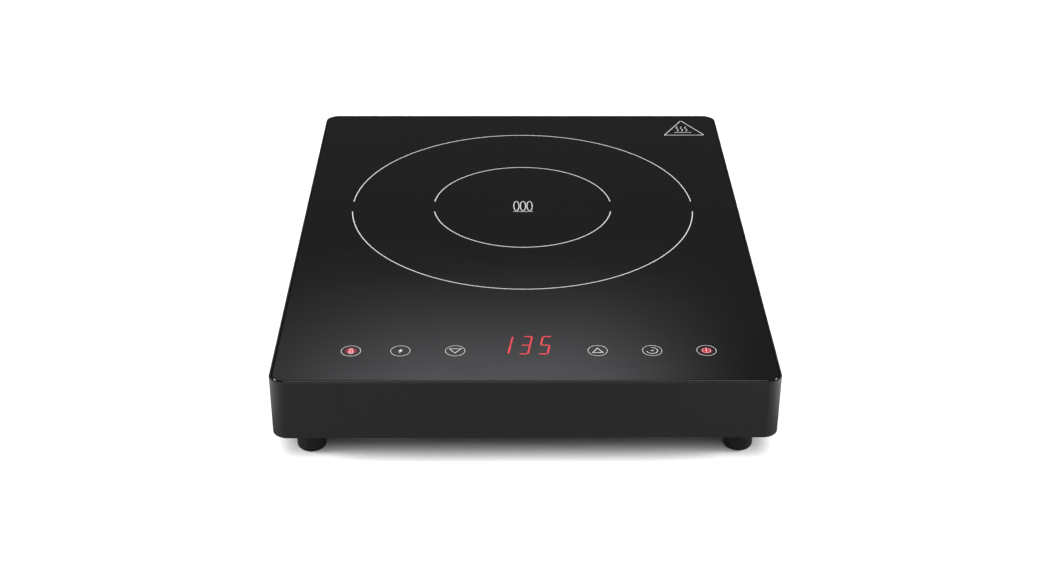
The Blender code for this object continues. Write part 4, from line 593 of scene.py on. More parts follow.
def pattern_source(tree, place, kind, size):
    """The grey pattern of a finish, from 0 to 1."""
    scale = per_mm(size)
    if kind == "grain":
        inputs = {"Vector": place, "Scale": scale, "Detail": 4.0}
        return add_node(tree, "ShaderNodeTexNoise", inputs).outputs[0]
    if kind == "crystals":
        inputs = {"Vector": place, "Scale": scale}
        cells = add_node(tree, "ShaderNodeTexVoronoi", inputs).outputs["Color"]
        return add_node(tree, "ShaderNodeSeparateColor", {"Color": cells}).outputs["Red"]
    if kind == "streaks":
        inputs = {"Vector": place, "Scale": (1.0, 0.04, 1.0)}
        drawn = add_node(tree, "ShaderNodeMapping", inputs).outputs["Vector"]
        inputs = {"Vector": drawn, "Scale": scale, "Detail": 3.0}
        return add_node(tree, "ShaderNodeTexNoise", inputs).outputs[0]
    # A wave of Scale 1 repeats every 2 pi / 20 units.
    waves = scale * math.pi / 10
    direction = {"ribs": "X", "layers": "Z", "weave": "X"}[kind]
    inputs = {"Vector": place, "Scale": waves, "Distortion": 0.3}
    first = add_node(
        tree, "ShaderNodeTexWave", inputs, wave_type="BANDS", bands_direction=direction
    ).outputs[1]
    if kind != "weave":
        return first
    second = add_node(
        tree, "ShaderNodeTexWave", inputs, wave_type="BANDS", bands_direction="Y"
    ).outputs[1]
    return calculate(tree, "MULTIPLY", first, second)


def plain_finish(slot):
    """The material of a row of PLAIN_FINISHES."""
    name, code, smooth, rough, metallic, kind, size, depth, reach = PLAIN_FINISHES[slot]
    made = bpy.data.materials.get(name)
    if made:
        return made
    base = linear(code)
    material, tree, shader, place = new_finish(name, base, rough, float(metallic))
    source = pattern_source(tree, place, kind, size)
    ends = (0.0, 1.0) if kind == "crystals" else (0.35, 0.65)
    gloss, bump = (source, smooth, rough), (source, 0.6, depth)
    dress(tree, shader, base, source, 1 - reach, 1 + reach, gloss, bump, ends)
    return material


# ---------------------------------------------------------------- casing

LEDGE_THICKNESS = 2.4 * MM
LEDGE_UNDERSIDE = SEAL_LOW.z - GAP - LEDGE_THICKNESS
DECK = PLATE_HIGH.z + GAP  # where the screw bosses end, just over the base sheet
BOSS_RADIUS = 4 * MM
SCREW_HOLE = 1.7 * MM
PILOT_DEPTH = 12.6 * MM
VENT_MIDDLE = -26 * MM
POCKET_FLOOR = CASING_HIGH.y - 7.8 * MM  # the recess in the rear wall that the gland sits in
POCKET_SIZE, POCKET_CORNER = (26 * MM, 21 * MM), 2.0 * MM
BLOCK_SIZE, BLOCK_CORNER = (30 * MM, 25 * MM), 2.5 * MM
GLAND_HOLE = 6.5 * MM


def casing_section(sizes):
    """The casing's wall as (inset, height) points, from the lower edge up the outside."""
    low, high = CASING_LOW.z, CASING_HIGH.z
    foot, rim = sizes.casing_foot_round, sizes.rim_round
    ledge_top = SEAL_LOW.z - GAP
    ledge = sizes.rim_width + sizes.ledge_reach
    inner_rim = rim * 0.6
    chamfer = 0.4 * MM
    section = [(foot + x, low + foot + y) for x, y in arc_points(foot, -90, -180, 5)]
    section += [(rim + x, high - rim + y) for x, y in arc_points(rim, 180, 90, 5)]
    section += [
        (sizes.rim_width - inner_rim + x, high - inner_rim + y)
        for x, y in arc_points(inner_rim, 90, 0, 3)
    ]
    section += [
        (sizes.rim_width, ledge_top), (ledge, ledge_top), (ledge, LEDGE_UNDERSIDE),
        (sizes.casing_wall, LEDGE_UNDERSIDE), (sizes.casing_wall, low + chamfer),
        (sizes.casing_wall - chamfer, low),
    ]
    return section


def vent_slots(sizes):
    """Cutters for the rear wall's row of upright slots with round ends."""
    middle = (PLATE_HIGH.z + LEDGE_UNDERSIDE) / 2
    first = VENT_MIDDLE - sizes.slot_pitch * (sizes.slot_count - 1) / 2
    reach = 3 * sizes.casing_wall
    slots = []
    for i in range(sizes.slot_count):
        slot = laid_back(prism(stadium(sizes.slot_width, sizes.slot_height), -reach, reach))
        slots.append(placed(slot, first + i * sizes.slot_pitch, CASING_HIGH.y, middle))
    return slots


class HOB_OT_casing(bpy.types.Operator):
    """Build the moulded casing with its rim, ledge, bosses, vent slots and cord pocket"""

    bl_idname = "hob.casing"
    bl_label = "Casing"

    def execute(self, context):
        sizes = context.scene.hob_sizes
        width = CASING_HIGH.x - CASING_LOW.x
        depth = CASING_HIGH.y - CASING_LOW.y
        section = casing_section(sizes)
        casing = object_from(
            "casing", frame_sweep(width, depth, sizes.casing_corner, section, True)
        )
        bosses = []
        pilots = []
        for screw in BASE_SCREWS:
            boss = disc(BOSS_RADIUS, 16, (screw.x, screw.y))
            bosses.append(prism(boss, DECK, LEDGE_UNDERSIDE + OVER))
            pilot = disc(SCREW_HOLE, 12, (screw.x, screw.y))
            pilots.append(prism(pilot, DECK - OVER, DECK + PILOT_DEPTH))
        wall = sizes.casing_wall
        block_end = CASING_HIGH.y - wall / 2 - POCKET_FLOOR
        outlines = (
            (rounded_outline(*BLOCK_SIZE, BLOCK_CORNER, 4), -wall, block_end),
            (rounded_outline(*POCKET_SIZE, POCKET_CORNER, 5), 0.0, 10 * OVER),
            (disc(GLAND_HOLE, 36), -5 * OVER, OVER),
        )
        block, pocket, hole = (
            placed(laid_back(prism(outline, low, high)), GLAND.x, POCKET_FLOOR, GLAND.z)
            for outline, low, high in outlines
        )
        carve(
            casing,
            [
                ("UNION", bosses), ("DIFFERENCE", pilots), ("UNION", [block]),
                ("DIFFERENCE", [pocket]), ("DIFFERENCE", [hole]),
                ("DIFFERENCE", vent_slots(sizes)),
            ],
        )
        finish_piece(casing, casing_finish(), stands_for=["housing_shell"])
        return {"FINISHED"}


# ---------------------------------------------------------------- glass and what is printed on it


class HOB_OT_glass(bpy.types.Operator):
    """Build the glass top with its ground and polished edge"""

    bl_idname = "hob.glass"
    bl_label = "Glass top"

    def execute(self, context):
        sizes = context.scene.hob_sizes
        width = GLASS_HIGH.x - GLASS_LOW.x
        depth = GLASS_HIGH.y - GLASS_LOW.y
        corner = sizes.casing_corner - (CASING_HIGH.x - GLASS_HIGH.x)
        edge, under = sizes.glass_edge, 0.3 * MM
        section = [(under, GLASS_LOW.z), (0.0, GLASS_LOW.z + under)]
        section += [
            (edge + x, GLASS_HIGH.z - edge + z) for x, z in arc_points(edge, 180, 90, 6)
        ]
        glass = object_from("glass", frame_sweep(width, depth, corner, section, False))
        finish_piece(glass, glass_finish(), stands_for=["glass_top"])
        return {"FINISHED"}


def on_glass(points, width, closed=False):
    """A printed line on the glass."""
    return stroke(points, width, GLASS_HIGH.z - SUNK, GLASS_HIGH.z + LIFT, closed)


def patch_on_glass(outline):
    """A printed patch on the glass."""
    return prism(outline, GLASS_HIGH.z - SUNK, GLASS_HIGH.z + LIFT)


def in_mm(points, centre=Vector((0.0, 0.0))):
    """Points in millimetres about a centre, as metres."""
    return [(centre.x + x * MM, centre.y + y * MM) for x, y in points]


# Half of a zone ring's gap at either side, above and below the ring's middle.
RING_GAP_ABOVE, RING_GAP_BELOW = 6.1 * MM, 8.8 * MM


def ring_arcs(radius, sizes):
    """A zone ring's two arcs. It is interrupted left and right, more below its middle than above."""
    above = math.degrees(math.asin(RING_GAP_ABOVE / radius))
    below = math.degrees(math.asin(RING_GAP_BELOW / radius))
    centre = (ZONE.x, ZONE.y)
    return [
        on_glass(arc_points(radius, above, 180 - above, 120, centre), sizes.zone_line),
        on_glass(arc_points(radius, 180 + below, 360 - below, 120, centre), sizes.zone_line),
    ]


# Outlines of the symbols, in mm about the middle of the key.
BOLT_MM = ((0.8, 2.6), (-1.5, -0.3), (-0.2, -0.3), (-0.8, -2.6), (1.5, 0.5), (0.2, 0.5))
DOWN_MM = ((-3.4, 2.2), (0.0, -2.5), (3.4, 2.2))
UP_MM = ((-3.0, -2.1), (0.0, 2.8), (3.0, -2.1))
TIMER_ARC_MM = arc_points(3.2, 100, -165, 40)
TIMER_HAND_MM = ((-0.9, 0.0), (0.9, 0.0))

# The hot surface sign, in mm. Its place is that of its right-hand corner, from the glass's right
# and rear edges. Each corner has the angles that its rounding runs between. The waves and the line
# are measured from the middle of the triangle's lower side.
SIGN_PLACE_MM = (9.4, 34.4)
SIGN_SIDE, SIGN_RISE = 29.8, 25.4
SIGN_INSET, SIGN_ROUND = 1.6, 1.0
SIGN_CORNERS = (
    (-SIGN_SIDE, 0.0, 235, 295), (0.0, 0.0, -55, 5), (-SIGN_SIDE / 2, SIGN_RISE, 35, 120),
)
SIGN_LINE_MM = ((-6.6, 4.6), (6.2, 4.6))
WAVE_COLUMNS, WAVE_FOOT, WAVE_SCALE = (-4.4, -1.2, 2.0), 6.6, 1.25
WAVE_MM = ((0.0, 0.0), (0.75, 1.0), (1.0, 2.1), (0.55, 3.3), (0.0, 4.5), (0.1, 5.7), (0.8, 6.8))


def key_symbols(sizes):
    """The symbols of the four keys that aren't lit: boost, down, up and timer."""
    line = sizes.key_line
    boost, down, up, timer = KEYS[1:5]
    return [
        patch_on_glass(in_mm(BOLT_MM, boost)),
        on_glass(in_mm(DOWN_MM, down), 1.5 * line, True),
        on_glass(in_mm(UP_MM, up), 1.6 * line, True),
        on_glass(in_mm(TIMER_ARC_MM, timer), 1.5 * line),
        on_glass(in_mm(TIMER_HAND_MM, timer), 2.0 * line),
    ]


def hot_sign(sizes):
    """A plain triangle with three waves over a line, near the glass's right-hand rear corner."""
    right, rear = SIGN_PLACE_MM
    corner = Vector((GLASS_HIGH.x - right * MM, GLASS_HIGH.y - rear * MM))
    triangle = []
    for x, y, start, end in SIGN_CORNERS:
        inward = Vector((-SIGN_SIDE / 2 - x, SIGN_RISE / 3 - y)).normalized() * SIGN_INSET
        triangle += arc_points(SIGN_ROUND, start, end, 6, (x + inward.x, y + inward.y))
    middle = Vector((corner.x - SIGN_SIDE / 2 * MM, corner.y))
    thin = sizes.sign_line * 0.8
    shapes = [on_glass(in_mm(triangle, corner), sizes.sign_line, True)]
    for column in WAVE_COLUMNS:
        wave = [(WAVE_SCALE * x + column, WAVE_SCALE * y + WAVE_FOOT) for x, y in WAVE_MM]
        shapes.append(on_glass(in_mm(smooth(wave), middle), thin))
    shapes.append(on_glass(in_mm(SIGN_LINE_MM, middle), thin))
    return shapes


def smooth(points, steps=4):
    """Points along a Catmull-Rom curve through the points."""
    ends = [points[0], *points, points[-1]]
    path = []
    for a, b, c, d in zip(ends, ends[1:], ends[2:], ends[3:]):
        for i in range(steps):
            t = i / steps
            path.append(
                tuple(
                    0.5 * (2 * q + (r - p) * t + (2 * p - 5 * q + 4 * r - s) * t * t
                           + (3 * q - p - 3 * r + s) * t**3)
                    for p, q, r, s in zip(a, b, c, d)
                )
            )
    return [*path, points[-1]]


# The coil symbol, in mm about the middle of the zone.
LOOP_COLUMNS, LOOP_MIDDLE = (-4.15, 0.3, 4.75), -0.7
LOOP_HALF_WIDTH, LOOP_HALF_HEIGHT, LOOP_STEPS = 1.75, 7.0, 36
COIL_LINE_MM = ((-6.3, -8.9), (6.9, -8.9))
LOOP_STROKE, COIL_LINE_STROKE = 0.55 * MM, 0.4 * MM


def coil_symbol():
    """Three upright loops over a line, in the middle of the zone."""
    angles = [2 * math.pi * i / LOOP_STEPS for i in range(LOOP_STEPS)]
    shapes = []
    for column in LOOP_COLUMNS:
        loop = [
            (column + LOOP_HALF_WIDTH * math.cos(a), LOOP_MIDDLE + LOOP_HALF_HEIGHT * math.sin(a))
            for a in angles
        ]
        shapes.append(on_glass(in_mm(loop, ZONE), LOOP_STROKE, True))
    shapes.append(on_glass(in_mm(COIL_LINE_MM, ZONE), COIL_LINE_STROKE))
    return shapes


class HOB_OT_printing(bpy.types.Operator):
    """Print the zone rings, key rings, symbols and the hot surface sign on the glass"""

    bl_idname = "hob.printing"
    bl_label = "Printing"

    def execute(self, context):
        sizes = context.scene.hob_sizes
        rings = [
            on_glass(disc(sizes.key_radius, 48, (key.x, key.y)), sizes.key_line, True)
            for key in KEYS
        ]
        layers = {
            "print_zone_ring": ring_arcs(sizes.zone_radius, sizes),
            "print_inner_ring": ring_arcs(sizes.inner_radius, sizes),
            "print_coil_symbol": coil_symbol(),
            "print_hot_sign": hot_sign(sizes),
            "print_key_rings": rings,
            "print_key_symbols": key_symbols(sizes),
        }
        ink = print_finish()
        for name, shapes in layers.items():
            finish_piece(object_from(name, joined(shapes)), ink)
        return {"FINISHED"}


# ---------------------------------------------------------------- lit display and keys

# Which segments each digit lights: top, middle, bottom, then the uprights, lower and upper, left
# before right.
SEGMENTS = {"1": (0, 0, 0, 0, 1, 0, 1), "3": (1, 1, 1, 0, 1, 0, 1), "5": (1, 1, 1, 0, 1, 1, 0)}
READING = "135"
DIGIT_SHIFT = -0.45 * MM
SEGMENT_GAP = 0.16 * MM  # from a digit's corner to the tip of each segment that meets there

HALO_RADIUS, HALO_THICKNESS = 4.3 * MM, 0.012 * MM

# Outlines of the lit symbols, in mm about the middle of the key.
THERMOMETER_MM = (
    (-0.75, 1.7), *arc_points(0.75, 180, 0, 8, (0.0, 1.7)), (0.75, -0.9),
    *arc_points(1.35, 40, -220, 20, (0.0, -1.6)),
)
MERCURY_MM = disc(0.5, 12, (0.0, -1.6))
POWER_ARC_MM = arc_points(2.4, 125, 415, 40)
POWER_BAR_MM = ((0.0, -0.9), (0.0, 3.0))


def segment_outline(start, end, width):
    """One display segment between two corners of a digit, pointed at both ends."""
    run = Vector(end) - Vector(start)
    along = run.normalized()
    across = Vector((-along.y, along.x)) * width / 2
    tip, shoulder = along * SEGMENT_GAP, along * (SEGMENT_GAP + width / 2)
    a, b = Vector(start), Vector(end)
    return [
        a + tip, a + shoulder - across, b - shoulder - across, b - tip,
        b - shoulder + across, a + shoulder + across,
    ]


def lit_segments(sizes):
    """The lit segments of the reading, leaning to the right."""
    half_width, half_height = sizes.digit_width / 2, sizes.digit_height / 2
    left, right = -half_width, half_width
    strokes = [((left, level), (right, level)) for level in (half_height, 0.0, -half_height)]
    strokes += [((x, -half_height), (x, 0.0)) for x in (left, right)]
    strokes += [((x, 0.0), (x, half_height)) for x in (left, right)]
    lean = math.tan(sizes.digit_slant)
    shapes = []
    for column, digit in enumerate(READING):
        middle = DISPLAY.x + DIGIT_SHIFT + (column - 1) * sizes.digit_pitch
        for (start, end), lit in zip(strokes, SEGMENTS[digit]):
            if not lit:
                continue
            outline = [
                (middle + point.x + point.y * lean, DISPLAY.y + point.y)
                for point in segment_outline(start, end, sizes.digit_stroke)
            ]
            shapes.append(patch_on_glass(outline))
    return shapes


class HOB_OT_lights(bpy.types.Operator):
    """Light the display's digits and the symbols of the first and the last key"""

    bl_idname = "hob.lights"
    bl_label = "Lit display and keys"

    def execute(self, context):
        sizes = context.scene.hob_sizes
        colours = context.scene.hob_colours
        digits = object_from("lit_digits", joined(lit_segments(sizes)))
        finish_piece(digits, lit_finish("polycarbonate_lit_red", colours.lit, 0.85))
        glow = glow_finish(HALO_RADIUS)
        core = lit_finish("polycarbonate_lit_core", colours.lit_core, 0.9, 0.9)
        heat, power = KEYS[0], KEYS[5]
        for name, key in (("heat", heat), ("power", power)):
            shape = prism(disc(HALO_RADIUS, 48), -SUNK, HALO_THICKNESS)
            halo = object_from(f"lit_halo_{name}", shape)
            halo.location = (key.x, key.y, GLASS_HIGH.z)
            finish_piece(halo, glow)
        symbols = {
            "lit_symbol_heat": [
                on_glass(in_mm(THERMOMETER_MM, heat), 1.6 * sizes.key_line, True),
                patch_on_glass(in_mm(MERCURY_MM, heat)),
            ],
            "lit_symbol_power": [
                on_glass(in_mm(POWER_ARC_MM, power), 1.3 * sizes.key_line),
                on_glass(in_mm(POWER_BAR_MM, power), 2.2 * sizes.key_line),
            ],
        }
        for name, shapes in symbols.items():
            finish_piece(object_from(name, joined(shapes)), core)
        return {"FINISHED"}


# ---------------------------------------------------------------- underside and rear


FOOT_TAPER = 0.7 * MM
FOOT_BORE, FOOT_BORE_DEPTH = 4.2 * MM, 9.0 * MM  # the recess that takes the screw's head
FOOT_HOLE = 2.0 * MM

# Pan-head screws: radius of the head, radius of the shank and height of the head.
BASE_SCREW = (3.1 * MM, 1.4 * MM, 1.6 * MM)
FOOT_BOLT = (3.5 * MM, 1.7 * MM, 2.0 * MM)

GRILLE_RADIUS, GRILLE_PITCH, GRILLE_SLOT, GRILLE_ROWS = 30 * MM, 6 * MM, 2.6 * MM, 9

# Beads pressed into the base sheet: x, y, width and depth of each, in metres.
BEADS = (
    (0.0, 0.130, 0.200, 0.009), (0.0, 0.034, 0.200, 0.009), (0.062, -0.070, 0.110, 0.009),
    (0.062, -0.140, 0.110, 0.009),
)
BEAD_DEPTH = 0.45 * MM


def foot_section(sizes, top):
    """A foot's section as (radius, height) points: shoulder, side, round, tread groove, recess."""
    upper, lower = sizes.foot_radius, sizes.foot_radius - FOOT_TAPER
    edge = sizes.foot_round
    groove_out, groove_in, groove = lower - edge - 0.5 * MM, 5.3 * MM, 0.5 * MM
    return [
        (upper - 0.5 * MM, top), (upper - 0.15 * MM, top - 0.15 * MM), (upper, top - 0.5 * MM),
        (upper - 0.15 * MM, top - 6.0 * MM),
        *[(lower - edge + x, edge + z) for x, z in arc_points(edge, 0, -90, 8)],
        (groove_out, 0.0), (groove_out - 0.2 * MM, groove), (groove_in + 0.2 * MM, groove),
        (groove_in, 0.0), (FOOT_BORE + 0.2 * MM, 0.0), (FOOT_BORE, 0.2 * MM),
        (FOOT_BORE, FOOT_BORE_DEPTH), (FOOT_HOLE, FOOT_BORE_DEPTH), (FOOT_HOLE, top),
    ]


class HOB_OT_feet(bpy.types.Operator):
    """Build the four rubber feet"""

    bl_idname = "hob.feet"
    bl_label = "Feet"

    def execute(self, context):
        sizes = context.scene.hob_sizes
        rubber = rubber_finish()
        for number, place in enumerate(FEET, 1):
            shape = turned(foot_section(sizes, FOOT_HIGH.z), 64, True)
            foot = object_from(f"rubber_foot_{number}", placed(shape, place.x, place.y))
            finish_piece(foot, rubber, stands_for=[f"foot_{number}"])
        return {"FINISHED"}


def pan_head_screw(name, node, head, shank, head_height):
    """A pan-head screw with a cross recess, standing head down where the node is."""
    low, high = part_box(node)
    centre = (low + high) / 2
    dome = [
        (head * math.cos(a), low.z + head_height * (1 - math.sin(a)))
        for a in (math.radians(d) for d in (0, 20, 40, 58, 72, 84))
    ]
    seat = low.z + head_height
    section = [
        (0.05 * MM, high.z), (shank * 0.4, high.z), (shank, high.z - shank), (shank, seat),
        (head, seat), *dome[1:], (0.05 * MM, low.z),
    ]
    screw = object_from(name, placed(turned(section, 24, False), centre.x, centre.y))
    arm, thick = head * 0.62, head * 0.17
    cross = [
        (arm, thick), (thick, thick), (thick, arm), (-thick, arm), (-thick, thick), (-arm, thick),
        (-arm, -thick), (-thick, -thick), (-thick, -arm), (thick, -arm), (thick, -thick),
        (arm, -thick),
    ]
    outline = [(centre.x + x, centre.y + y) for x, y in cross]
    recess = prism(outline, low.z - OVER, low.z + head_height * 0.6)
    carve(screw, [("DIFFERENCE", [recess])])
    return screw


class HOB_OT_base(bpy.types.Operator):
    """Build the pressed steel base with its intake grille, beads and screws"""

    bl_idname = "hob.base"
    bl_label = "Base and screws"

    def execute(self, context):
        sizes = context.scene.hob_sizes
        width = PLATE_HIGH.x - PLATE_LOW.x
        depth = PLATE_HIGH.y - PLATE_LOW.y
        low, high = PLATE_LOW.z, PLATE_HIGH.z
        corner = sizes.casing_corner - sizes.casing_wall - GAP
        burr = 0.15 * MM
        section = [(burr, low), (0.0, low + burr), (0.0, high - burr), (burr, high)]
        sheet = object_from("base_sheet", frame_sweep(width, depth, corner, section, False, 8))
        outlines = [disc(SCREW_HOLE, 16, (screw.x, screw.y)) for screw in BASE_SCREWS]
        outlines += [disc(FOOT_HOLE, 16, (foot.x, foot.y)) for foot in FEET]
        holes = [prism(outline, low - OVER, high + OVER) for outline in outlines]
        grille = []
        for row in range(GRILLE_ROWS):
            away = GRILLE_PITCH * (row - GRILLE_ROWS // 2)
            reach = math.sqrt(GRILLE_RADIUS**2 - away**2)
            outline = stadium(2 * reach, GRILLE_SLOT, (BLOWER.x, BLOWER.y + away))
            grille.append(prism(outline, low - OVER, high + OVER))
        beads = [
            prism(stadium(wide, deep, (x, y), 6), low - OVER, low + BEAD_DEPTH)
            for x, y, wide, deep in BEADS
        ]
        carve(sheet, [("DIFFERENCE", holes), ("DIFFERENCE", grille), ("DIFFERENCE", beads)])
        finish_piece(sheet, plain_finish("zinc_sheet"), stands_for=["base_plate"])

        steel = plain_finish("steel_screw")
        kinds = (
            ("pan_screw", "base_screw", 6, BASE_SCREW), ("foot_bolt", "foot_screw", 4, FOOT_BOLT),
        )
        for piece, solid, count, form in kinds:
            for number in range(1, count + 1):
                node = f"{solid}_{number}"
                screw = pan_head_screw(f"{piece}_{number}", node, *form)
                finish_piece(screw, steel, stands_for=[node])
        return {"FINISHED"}


# Sections of the cord gland, in mm: radius, and distance out from the floor of the pocket.
HEXAGON_MM = ((5.4, 0.0), (7.8, 0.0), (8.4, 0.5), (8.4, 2.6), (7.8, 3.0), (5.4, 3.0))
DOME_MM = (
    (5.4, 3.0), (7.3, 3.0), (7.5, 3.3), (7.5, 5.2), (7.1, 6.1), (6.3, 6.8), (5.7, 7.0), (5.2, 6.8),
    (5.2, 3.4),
)
INSERT_MM = ((4.1, -2.0), (5.0, -2.0), (5.1, 6.2), (4.9, 6.5), (4.3, 6.1), (4.1, 5.6))
DOME_RIBS, RIB_DEPTH = 16, 0.45 * MM
BARREL_INSIDE, BARREL_OUTSIDE = 5.2 * MM, 6.2 * MM
GLAND_LENGTH = 7.0 * MM


class HOB_OT_gland(bpy.types.Operator):
    """Build the cord gland: its chamfered hexagon, ribbed dome nut and rubber insert"""

    bl_idname = "hob.gland"
    bl_label = "Cord gland"

    def execute(self, context):
        seat = GLAND_HIGH.y - GLAND_LENGTH
        back = GLAND_LOW.y - seat
        hexagon = turned(in_mm(HEXAGON_MM), 6, True)
        dome = turned(in_mm(DOME_MM), 96, True, DOME_RIBS, RIB_DEPTH)
        barrel = turned(
            [
                (BARREL_INSIDE, back), (BARREL_OUTSIDE, back), (BARREL_OUTSIDE, 0.0),
                (BARREL_INSIDE, 0.0),
            ],
            48, True,
        )
        nylon = plain_finish("black_nylon")
        body = joined([hexagon, dome, barrel])
        gland = object_from("gland_body", placed(laid_back(body), GLAND.x, seat, GLAND.z))
        finish_piece(gland, nylon, stands_for=["cable_gland"])
        insert = turned(in_mm(INSERT_MM), 48, True)
        rubber = object_from("gland_insert", placed(laid_back(insert), GLAND.x, seat, GLAND.z))
        finish_piece(rubber, bpy.data.materials["rubber_moulded_black"])
        return {"FINISHED"}


class HOB_OT_inside(bpy.types.Operator):
    """Give every solid that stays as it is its finish"""

    bl_idname = "hob.inside"
    bl_label = "Inner finishes"

    def execute(self, context):
        slots = {row["node"]: row["material_slot"] for row in frame["record"]["subparts"]}
        for name, node in frame["nodes"].items():
            if node.hide_render:
                continue
            material = plain_finish(slots[name])
            node.data.materials.clear()
            node.data.materials.append(material)
        return {"FINISHED"}


# ---------------------------------------------------------------- studio

SUN_STRENGTH = 4.7
SUN_ELEVATION = 58
SUN_SPREAD = 44
ROOM_LIGHT = 0.105
CARD_BRIGHTEST = 1.0
CARD_FROM, CARD_TO = 0.86, 1.131  # heights between which the rear card gets brighter
CARD_LEFT, CARD_MIDDLE_LEFT, CARD_MIDDLE_RIGHT, CARD_RIGHT = -0.62, -0.07, 0.07, 0.44
CARD_SIZE = (1.8, 0.01, 1.0)
CARD_PLACE = (0.0, 1.5, 0.4)
CARD_TINT = (0.98, 0.95, 1.0, 1.0)
BLACK = (0.0, 0.0, 0.0, 1.0)
WHITE = (1.0, 1.0, 1.0, 1.0)

FLOOR_SIZE, FLOOR_THICKNESS = 12.0, 0.02
FLOOR_FIBRE_MM = 3
SUN_DISTANCE = 3.0
# Name, x and strength of the two glows beside the hob, then their size and corner radius.
SWEEP_GLOWS = (("left_sweep", -0.5, 2.2), ("right_sweep", 0.5, 2.4))
SWEEP_SIZE, SWEEP_CORNER = (0.6, 1.0), 0.05
# Light boxes: name, place, target, power, width, height, and whether the floor is lit by it.
LIGHT_BOXES = (
    ("left_box", (-1.6, -0.15, 0.7), (0.0, -0.1, 0.0), 24.0, 0.5, 0.6, True),
    ("right_box", (1.6, -0.15, 0.7), (0.0, -0.1, 0.0), 20.0, 0.5, 0.6, True),
    ("edge_strip", (0.0, -1.2, 1.75), (0.0, -0.18, 0.06), 9.0, 0.9, 0.4, False),
)

CAMERA_PLACE = (-0.0108, -0.9798, 0.5717)
CAMERA_PITCH, CAMERA_YAW, CAMERA_ROLL = 0.51309, -0.01256, 0.00514  # pitch is downwards
CAMERA_LENS, CAMERA_SENSOR = 57.78, 36.0  # in mm


def add_light(name, kind, location, target, energy, **settings):
    """A light that points at target and that the camera doesn't see."""
    light = bpy.data.lights.new(name, kind)
    light.energy = energy
    for key, value in settings.items():
        setattr(light, key, value)
    lamp = bpy.data.objects.new(name, light)
    lamp.location = location
    away = Vector(location) - Vector(target)
    lamp.rotation_euler = away.to_track_quat("Z", "Y").to_euler()
    lamp.visible_camera = False
    bpy.context.scene.collection.objects.link(lamp)
    return lamp


def glow_card(name, shape, place, tint):
    """Adds a glowing card that only reflections see. Returns its tree, shader and coordinates."""
    card = object_from(name, placed(shape, *place))
    material, *rest = new_finish(
        f"{name}_glow", BLACK, 1.0, Specular_IOR_Level=0.0, Emission_Color=tint
    )
    card.data.materials.append(material)
    card.visible_camera = False
    card.visible_shadow = False
    card.visible_diffuse = False
    return rest


def rear_card():
    """A glowing card behind the hob. It gets brighter towards its top and dims to both sides, so
    the front of the glass carries a soft light patch.
    """
    wide, thick, high = CARD_SIZE
    shape = prism(box_outline(wide, thick), 0.0, high)
    tree, shader, place = glow_card("rear_card", shape, CARD_PLACE, CARD_TINT)
    axes = add_node(tree, "ShaderNodeSeparateXYZ", {"Vector": place})
    rise = spread(tree, axes.outputs["Z"], 0.0, 1.0, CARD_FROM, CARD_TO)
    sides = []
    for near, far in ((CARD_MIDDLE_LEFT, CARD_LEFT), (CARD_MIDDLE_RIGHT, CARD_RIGHT)):
        inputs = {"Value": axes.outputs["X"], "From Min": far, "From Max": near}
        side = add_node(tree, "ShaderNodeMapRange", inputs, interpolation_type="SMOOTHSTEP")
        sides.append(side.outputs["Result"])
    level = calculate(tree, "MULTIPLY", *sides)
    level = calculate(tree, "MULTIPLY", level, calculate(tree, "POWER", rise, 2.0))
    level = calculate(tree, "MULTIPLY_ADD", level, CARD_BRIGHTEST, ROOM_LIGHT)
    tree.links.new(level, shader.inputs["Emission Strength"])


def sweep_glow(name, x, strength):
    """The lit sweep beside the hob, as the casing's corners reflect it. The floor itself is left
    out of reflections, or the whole front face would go grey.
    """
    shape = prism(rounded_outline(*SWEEP_SIZE, SWEEP_CORNER), 0.0, MM)
    tree, shader, place = glow_card(name, shape, (x, 0.0, MM), WHITE)
    away = add_node(tree, "ShaderNodeVectorMath", {0: place}, operation="LENGTH").outputs["Value"]
    fade = spread(tree, away, strength, strength * 0.4, 0.2, 1.0)
    tree.links.new(fade, shader.inputs["Emission Strength"])


def white_floor(base):
    """The paper sweep that the hob stands on. It stays out of reflections."""
    floor = object_from("floor", prism(box_outline(FLOOR_SIZE, FLOOR_SIZE), -FLOOR_THICKNESS, 0.0))
    material, tree, shader, place = new_finish(
        "paper_sweep_white", base, 0.9, Specular_IOR_Level=0.0
    )
    inputs = {"Vector": place, "Scale": per_mm(FLOOR_FIBRE_MM), "Detail": 3.0}
    fibres = add_node(tree, "ShaderNodeTexNoise", inputs).outputs[0]
    dress(tree, shader, base, fibres, 0.97, 1.0)
    floor.data.materials.append(material)
    floor.visible_glossy = False


def studio_room(scene):
    """White where the camera looks past the hob, and a dim even light everywhere else."""
    world = bpy.data.worlds.new("studio")
    scene.world = world
    world.use_nodes = True
    tree = world.node_tree
    tree.nodes.clear()
    seen = add_node(tree, "ShaderNodeBackground", {"Color": WHITE, "Strength": 1.0})
    room = add_node(tree, "ShaderNodeBackground", {"Color": WHITE, "Strength": ROOM_LIGHT})
    path = add_node(tree, "ShaderNodeLightPath")
    inputs = {0: path.outputs["Is Camera Ray"], 1: room.outputs[0], 2: seen.outputs[0]}
    mix = add_node(tree, "ShaderNodeMixShader", inputs)
    add_node(tree, "ShaderNodeOutputWorld", {"Surface": mix.outputs[0]})


